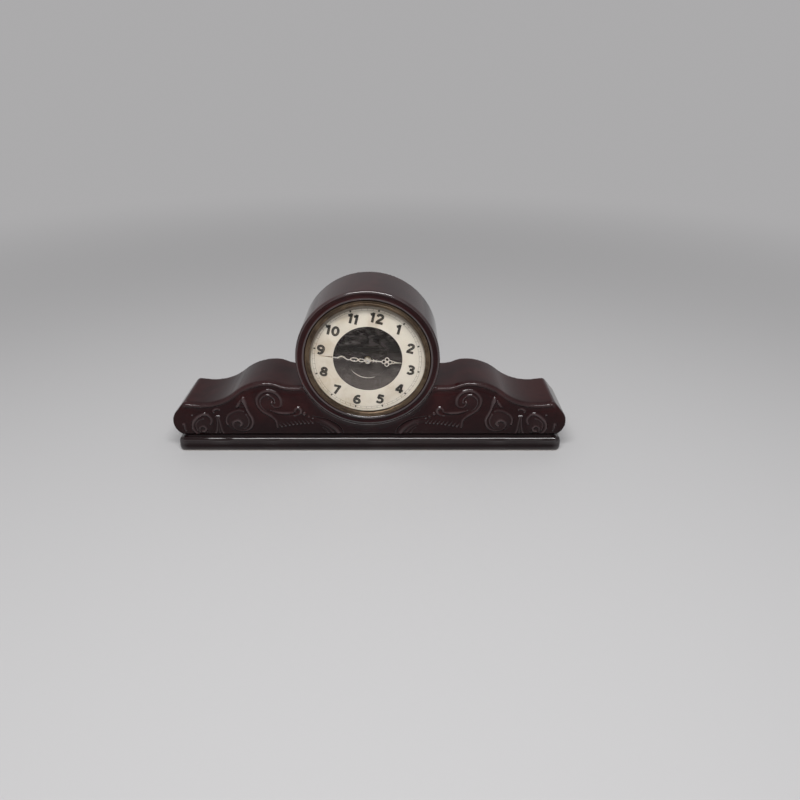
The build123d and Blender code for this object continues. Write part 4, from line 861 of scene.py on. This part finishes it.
def joinLipAndPlinth(mesh):
    # the skin gives way to the turned lip and the swept plinth, which keep their exact sections
    half, front, back, _ = plinth["outline"]
    lipInner, lipInset, lipDepth = skin["lipCut"]
    plinthTop, plinthInset = skin["plinthCut"]
    shape = bmesh.new()
    shape.from_mesh(mesh)
    spare = []
    for face in shape.faces:
        x, y, z = face.calc_center_median()
        radius = (x**2 + (z - dialAxisZ)**2)**0.5
        onLip = lipInner < radius < skin["drumRadius"] - lipInset and y < lipFront + lipDepth
        onPlinth = z < plinthTop and min(half - abs(x), y - front, back - y) < plinthInset
        if onLip or onPlinth:
            spare.append(face)
    bmesh.ops.delete(shape, geom=spare, context="FACES")
    section = [(radius * mm, lipFront + setback * mm) for radius, setback in skin["lipSection"]]
    addRings(shape, turnedRings(section, skin["lipSteps"]))
    addRings(shape, plinthRings())
    shape.to_mesh(mesh)
    shape.free()


def isModelled(middle, level):
    # the whole front below and beside the drum, then the scrollwork alone
    if level:
        low, high = skin["fineHeights"]
        return abs(middle.x) > skin["fineFrom"] and low < middle.z < high
    away = (middle - Vector((0, middle.y, dialAxisZ))).length
    return middle.z > skin["frontFrom"] and away > skin["drumRadius"] - skin["fineInset"]


def modelFront(place, facing):
    x, z = place[:, 0], place[:, 2]
    radius = fromAxis(place)
    drum = skin["drumRadius"]
    front = place[:, 1].copy()

    # collar: the drum's edge flares down and out into the wings' front
    below = smoothStep(*skin["collarTurn"], (dialAxisZ - z) / np.maximum(radius, mm))
    inside, outside = skin["collarEdges"]
    flareOuter = drum + outside + skin["collarFlare"] * below
    flareInner = drum - inside
    share = np.clip((radius - flareInner) / (flareOuter - flareInner), 0, 1)
    collar = wingFront - drumProud * (1 - share)**2
    inCollar = (radius > drum - skin["drumEdge"]) & (share < 1)
    front = np.where(inCollar, np.minimum(front, collar), front)

    # bead along the wave of the wing's top edge, with a groove below it
    column = np.abs(x) / mm
    top = wingTop(place)
    slope = np.gradient(top / mm)
    depth = (np.interp(column, wingColumns, top) - z) / mm
    depth /= np.sqrt(1 + np.interp(column, wingColumns, slope)**2)
    first, last = skin["wingStart"]
    onWing = smoothStep(drum + first, drum + last, radius) * (1 - smoothStep(*skin["wingEnd"], np.abs(x)))
    width = skin["beadWidth"] / mm
    bead = hump((depth - width) / width, skin["beadCurve"]) * skin["beadHeight"]
    cutDepth, cutPlace, cutWidth = skin["groove"]
    groove = hump((depth - cutPlace * width) / (cutWidth * width), skin["ridgeCurve"]) * cutDepth
    front -= (bead - groove) * onWing

    # scrollwork
    line, dome, cut = reliefHeight(x / mm, z / mm)
    front -= (line + dome - cut) * mm
    moved = place.copy()
    moved[:, 1] += (front - place[:, 1]) * facing
    # share of lighter tone: partly thin glaze, partly painted sheen
    full, domeShare, beadShare = skin["thinGlazeAndSheen"]
    thinGlazeAndSheen = (line / full)**2 + dome * domeShare + bead * onWing / skin["beadHeight"] * beadShare
    return moved, np.clip(thinGlazeAndSheen, 0, 1) * facing


buildStudio()
buildCase()


# Dial: numerals, minute track, hour marks and the pressed ring in the dark centre
dial = {
    "printTurn": 14,  # degrees clockwise that the print is turned
    "printShift": 0.8 * mm,  # the print is not quite central
    "numeralRadius": 43.7 * mm,
    "numeralHeight": 10.0 * mm,
    "strokeWidth": 2.55 * mm,
    "digitStretch": 1.32,
    "digitGap": 0.07,
    "digitWidth": 0.62,
    "oneWidth": 0.33,
    "inkRaise": 0.06 * mm,
    "trackRadii": (50.4 * mm, 52.6 * mm),
    "trackLine": 0.18 * mm,
    "trackSteps": 240,
    "tickWidth": 0.22 * mm,
    "markRadius": 51.4 * mm,
    "markSize": (1.08 * mm, 1.35 * mm),  # half width and half height
    "nudges": {9: 1.5 * mm},  # numerals printed further out
    "ringRadius": 19.6 * mm,
    "ringWidth": 0.7 * mm,
    "ringHeight": 0.3 * mm,
    "ringSteps": 160,
    # painted highlight: a bright arc along the lower left of the centre ring
    "highlightArcTurn": (159, 235),
    "highlightArcWidth": 0.7 * mm,
    "highlightArcTip": 0.02 * mm,
    "highlightArcRaise": 0.03 * mm,
    "highlightArcSteps": 32,
}


def dialMatrix(y):
    # sheet drawn in XY, set upright on the dial at depth y and turned clockwise
    middle = Matrix.Translation((-dial["printShift"], y, dialAxisZ - dial["printShift"]))
    return middle @ Matrix.Rotation(radians(dial["printTurn"]), 4, "Y") @ Matrix.Rotation(pi / 2, 4, "X")


# Strokes of the bold numerals in a box of a digit's width and 1 high: straight runs, smooth runs and rings
straightStrokes = {
    "1": [[(0.22, 1.0), (0.22, 0.0)], [(0.25, 0.90), (0.0, 0.72)]],
    "2": [[(0.06, 0.11), (0.58, 0.11)]],
    "4": [[(0.42, 0.0), (0.42, 1.0)], [(0.38, 0.92), (0.10, 0.34)], [(0.02, 0.29), (0.60, 0.29)]],
    "5": [[(0.55, 0.89), (0.15, 0.89)], [(0.20, 0.95), (0.16, 0.50)]],
    "7": [[(0.05, 0.89), (0.58, 0.89)], [(0.49, 0.90), (0.22, 0.0)]],
}
smoothStrokes = {
    "2": [[(0.12, 0.68), (0.16, 0.84), (0.31, 0.90), (0.46, 0.83), (0.48, 0.66), (0.38, 0.48), (0.24, 0.31),
           (0.13, 0.10)]],
    "3": [[(0.10, 0.80), (0.20, 0.89), (0.34, 0.89), (0.46, 0.80), (0.45, 0.65), (0.34, 0.55), (0.22, 0.53)],
          [(0.22, 0.53), (0.40, 0.50), (0.50, 0.37), (0.49, 0.22), (0.38, 0.12), (0.23, 0.10), (0.09, 0.19)]],
    "5": [[(0.14, 0.54), (0.30, 0.61), (0.46, 0.53), (0.51, 0.35), (0.45, 0.18), (0.30, 0.10), (0.08, 0.17)]],
    "6": [[(0.48, 0.86), (0.33, 0.90), (0.18, 0.76), (0.11, 0.50), (0.13, 0.24), (0.29, 0.10), (0.46, 0.17),
           (0.51, 0.34), (0.43, 0.50), (0.28, 0.54), (0.15, 0.46)]],
}
smoothStrokes["9"] = [[(dial["digitWidth"] - x, 1 - y) for x, y in smoothStrokes["6"][0]]]
roundStrokes = {"0": [(0.31, 0.50, 0.20, 0.39)], "8": [(0.31, 0.72, 0.165, 0.17), (0.31, 0.295, 0.20, 0.185)]}


def addQuad(shape, corners):
    shape.faces.new([shape.verts.new((corner[0], corner[1], 0)) for corner in corners])


def addRibbon(shape, path, width):
    # flat stroke of even width along a path
    run = np.gradient(path, axis=0)
    side = np.column_stack((-run[:, 1], run[:, 0])) / np.linalg.norm(run, axis=1)[:, None] * width / 2
    left, right = path + side, path - side
    for i in range(len(path) - 1):
        addQuad(shape, [right[i], right[i + 1], left[i + 1], left[i]])


def addPrint(name, shape, height):
    mesh = meshFrom(shape, name)
    mesh.transform(dialMatrix(chapterFront - height))
    addPiece(name, mesh, "dial_dark", material=numeralInk)


def buildNumerals():
    shape = bmesh.new()
    box = np.array((dial["digitStretch"], 1)) * dial["numeralHeight"]
    turn = np.linspace(0, 2 * pi, 33)
    for hour in range(1, 13):
        angle = radians(30 * hour)
        radius = dial["numeralRadius"] + dial["nudges"].get(hour, 0)
        label = str(hour)
        widths = [dial["oneWidth"] if digit == "1" else dial["digitWidth"] for digit in label]
        start = -(sum(widths) + dial["digitGap"] * (len(label) - 1)) / 2
        for digit, width in zip(label, widths):
            corner = np.array((start, -0.5)) * box + np.array((sin(angle), cos(angle))) * radius
            start += width + dial["digitGap"]
            paths = [np.array(stroke) for stroke in straightStrokes.get(digit, [])]
            paths += [curveThrough(stroke) for stroke in smoothStrokes.get(digit, [])]
            for x, y, rx, ry in roundStrokes.get(digit, []):
                paths.append(np.column_stack((x + rx * np.cos(turn), y + ry * np.sin(turn))))
            for path in paths:
                addRibbon(shape, path * box + corner, dial["strokeWidth"])
    addPrint("hourNumerals", shape, dial["inkRaise"])


def buildTrack():
    shape = bmesh.new()
    steps = dial["trackSteps"]
    for radius in dial["trackRadii"]:
        outer, inner = radius + dial["trackLine"] / 2, radius - dial["trackLine"] / 2
        for i in range(steps):
            a, b = 2 * pi * i / steps, 2 * pi * (i + 1) / steps
            ring = ((inner, b), (outer, b), (outer, a), (inner, a))
            addQuad(shape, [(r * sin(t), r * cos(t)) for r, t in ring])
    half = dial["tickWidth"] / 2
    low, high = dial["trackRadii"]
    bar = [(-half, low), (half, low), (half, high), (-half, high)]
    for minute in range(60):
        turn = Matrix.Rotation(-2 * pi * minute / 60, 2)
        addQuad(shape, [turn @ Vector(corner) for corner in bar])
    addPrint("minuteTrack", shape, dial["inkRaise"] / 2)

    shape = bmesh.new()
    wide, tall = dial["markSize"]
    middle = Vector((0, dial["markRadius"]))
    for hour in range(12):
        turn = Matrix.Rotation(-2 * pi * hour / 12, 2)
        diamond = [(0, -tall), (wide, 0), (0, tall), (-wide, 0)]
        addQuad(shape, [turn @ (middle + Vector(corner)) for corner in diamond])
    addPrint("hourMarks", shape, dial["inkRaise"])


def buildCentreRing():
    # a shallow pressed ring, with a painted highlight: a bright brass arc on its lower left where the ring catches the
    # light
    radius, height = dial["ringRadius"], dial["ringHeight"]
    shape = bmesh.new()
    addRings(shape, turnedRings(beadProfile(radius, dial["ringWidth"], dialFront, -height), dial["ringSteps"]))
    mesh = meshFrom(shape, "centreRing")
    mesh.shade_smooth()
    addPiece("centreRing", mesh, "dial_dark")

    # painted highlight: a bright brass arc laid on the ring
    shape = bmesh.new()
    first, last = dial["highlightArcTurn"]
    y = dialFront - height - dial["highlightArcRaise"]
    rows = []
    for i in range(dial["highlightArcSteps"] + 1):
        share = i / dial["highlightArcSteps"]
        turn = radians(first + (last - first) * share)
        wide = dial["highlightArcWidth"] * sin(pi * share)**0.6 / 2 + dial["highlightArcTip"]
        edge = (radius - wide, radius + wide)
        rows.append([shape.verts.new((r * sin(turn), y, dialAxisZ + r * cos(turn))) for r in edge])
    for low, high in zip(rows, rows[1:]):
        shape.faces.new((low[0], high[0], high[1], low[1]))
    addPiece("paintedHighlightArc", meshFrom(shape, "paintedHighlightArc"), "hand_brass")


buildNumerals()
buildTrack()
buildCentreRing()
print("dial ready")

# Back: slotted screws, rolled edges on the tin, and the marks by the key, the knob and the regulator
screws = {  # piece, head height, shank radius and slot width
    "clamp_screws": ("clampScrews", 2.0 * mm, 1.6 * mm, 0.9 * mm),
    "can_screws": ("canScrews", 1.6 * mm, 1.3 * mm, 0.8 * mm),
}
screwHead = {
    "slotFloor": 0.45,  # shares of the head's height and radius
    "bevelHeight": 0.3,
    "bevelRadius": 0.8,
    "steps": 24,
    "halfSteps": 15,
    "leans": (25, 67),  # degrees: the first slot's, and from each slot to the next
}
back = {
    "canBack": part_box("can_screws")[1].y - screws["can_screws"][1],
    "canRidges": [(46.6 * mm, 0.7 * mm, 0.5 * mm), (33.0 * mm, 0.7 * mm, 0.45 * mm)],  # radius, half width, height
    "ringBeads": [(47.3 * mm, 0.42 * mm, 0.4 * mm), (63.2 * mm, 0.65 * mm, 0.5 * mm)],
    "knobBeads": [(4.3 * mm, 0.5 * mm, 0.4 * mm), (2.2 * mm, 0.4 * mm, 0.3 * mm)],
    "beadSteps": 144,
    "markRaise": 0.05 * mm,
    "markWidth": 0.7 * mm,
    "scaleRadii": (9.4 * mm, 10.7 * mm),
    "scaleTurn": (122, 178),
    "scaleSteps": 9,
    "scaleMiddle": 0.8 * mm,  # the middle mark is this much longer
    "signRadius": 7.6 * mm,
    "signBar": (1.2, 0.3),  # half length and half width, in millimetres
    "arrowHead": (3, 6.8),  # half width and length, in half widths of the line
    "arrows": {  # arbor, radius, first and last turn, then each head's turn and way
        "windingArrow": ("winding_arbor", 9.3 * mm, 40, 150, [(40, -1)]),
        "settingArrow": ("centre_arbor", 11.0 * mm, 50, 130, [(50, -1), (130, 1)]),
    },
}


def screwSpots(node):
    # box of each screw in a node that holds several
    shape = bmesh.new()
    shape.from_mesh(nodes[node].data)
    bmesh.ops.remove_doubles(shape, verts=shape.verts, dist=1e-6)
    left, spots = set(shape.verts), []
    while left:
        found, edge = set(), [next(iter(left))]
        while edge:
            vert = edge.pop()
            if vert not in found:
                found.add(vert)
                edge += [line.other_vert(vert) for line in vert.link_edges]
        left -= found
        spread = np.array([vert.co for vert in found])
        spots.append((spread.min(axis=0), spread.max(axis=0)))
    shape.free()
    return sorted(spots, key=lambda spot: tuple(spot[0]))


def buildScrews(node):
    name, headHeight, shank, slot = screws[node]
    shape = bmesh.new()
    turns = np.linspace(0, 2 * pi, screwHead["steps"], endpoint=False)
    firstLean, leanStep = screwHead["leans"]
    for number, (low, high) in enumerate(screwSpots(node)):
        x, z = (low[0] + high[0]) / 2, (low[2] + high[2]) / 2
        radius, seat, top = (high[0] - low[0]) / 2, high[1] - headHeight, high[1]
        floor = seat + screwHead["slotFloor"] * headHeight
        profile = [(shank, low[1]), (shank, seat), (radius, seat), (radius, floor)]
        addRings(shape, [[(x + r * cos(t), y, z + r * sin(t)) for t in turns] for r, y in profile], capped=True)
        # the head's two halves, on either side of the slot
        bevel = [(radius, top - screwHead["bevelHeight"] * headHeight), (screwHead["bevelRadius"] * radius, top)]
        lean = radians(firstLean + leanStep * number)
        for side in (lean, lean + pi):
            rows = []
            for r, y in [(radius, floor)] + bevel:
                reach = np.arccos(slot / 2 / r)
                bend = np.linspace(-reach, reach, screwHead["halfSteps"])
                rows.append([(x + r * cos(side + t), y, z + r * sin(side + t)) for t in bend])
            addRings(shape, rows, capped=True)
    bmesh.ops.recalc_face_normals(shape, faces=shape.faces)
    piece = addPiece(name, meshFrom(shape, name), "steel")
    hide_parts(node)


def buildBeads(name, beadList, y, slot, body):
    # rounded rings raised on a face that looks to the back
    shape = bmesh.new()
    for radius, half, height in beadList:
        addRings(shape, turnedRings(beadProfile(radius, half, y, height), back["beadSteps"]))
    bmesh.ops.recalc_face_normals(shape, faces=shape.faces)
    mesh = meshFrom(shape, name)
    mesh.shade_smooth()
    addPiece(name, mesh, slot, body)


def addArc(shape, middle, radius, first, last, heads):
    # flat arc with an arrow head at one end or both
    half = back["markWidth"] / 2
    wide, long = back["arrowHead"]
    turns = np.radians(np.linspace(first, last, 25))
    ring = [[(middle[0] + r * cos(t), middle[1] + r * sin(t)) for t in turns] for r in (radius - half, radius + half)]
    for i in range(len(turns) - 1):
        addQuad(shape, [ring[0][i], ring[0][i + 1], ring[1][i + 1], ring[1][i]])
    for turn, way in heads:
        t = radians(turn)
        spots = [(radius - wide * half, t), (radius + wide * half, t), (radius, t + way * long * half / radius)]
        addQuad(shape, [(middle[0] + r * cos(a), middle[1] + r * sin(a)) for r, a in spots])


def middleOf(node):
    low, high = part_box(node)
    return (low.x + high.x) / 2, (low.z + high.z) / 2


def addMark(name, shape):
    mesh = meshFrom(shape, name)
    mesh.transform(Matrix.Translation((0, back["canBack"] + back["markRaise"], 0)) @ Matrix.Rotation(pi / 2, 4, "X"))
    mesh.flip_normals()
    addPiece(name, mesh, "dial_dark", material=numeralInk)


def buildMarks():
    shape = bmesh.new()
    x, z = middleOf("balance_staff")
    low, high = back["scaleRadii"]
    half = back["markWidth"] / 4
    first, last = back["scaleTurn"]
    steps = back["scaleSteps"]
    for i in range(steps):
        turn = Matrix.Rotation(radians(first + (last - first) * i / (steps - 1)), 2)
        inner = low - back["scaleMiddle"] if i == steps // 2 else low
        bar = [(inner, -half), (high, -half), (high, half), (inner, half)]
        addQuad(shape, [turn @ Vector(corner) + Vector((x, z)) for corner in bar])
    # minus at one end, plus at the other
    level, upright = back["signBar"], back["signBar"][::-1]
    for turn, bars in ((first, [level]), (last, [level, upright])):
        away = back["signRadius"]
        spot = Vector((x + away * cos(radians(turn)), z + away * sin(radians(turn))))
        for wide, tall in bars:
            bar = [(-wide, -tall), (wide, -tall), (wide, tall), (-wide, tall)]
            addQuad(shape, [spot + Vector(corner) * mm for corner in bar])
    addMark("regulatorScale", shape)

    for name, (arbor, *arc) in back["arrows"].items():
        shape = bmesh.new()
        addArc(shape, middleOf(arbor), *arc)
        addMark(name, shape)


for node in screws:
    buildScrews(node)
buildBeads("canRidges", back["canRidges"], back["canBack"], "tin", "case")
buildBeads("ringBeads", back["ringBeads"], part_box("rear_clamp_ring")[1].y, "tin", "case")
buildBeads("knobBeads", back["knobBeads"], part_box("setting_knob")[1].y, "knob_brass", "hand_arbor")
buildMarks()
print("back ready")
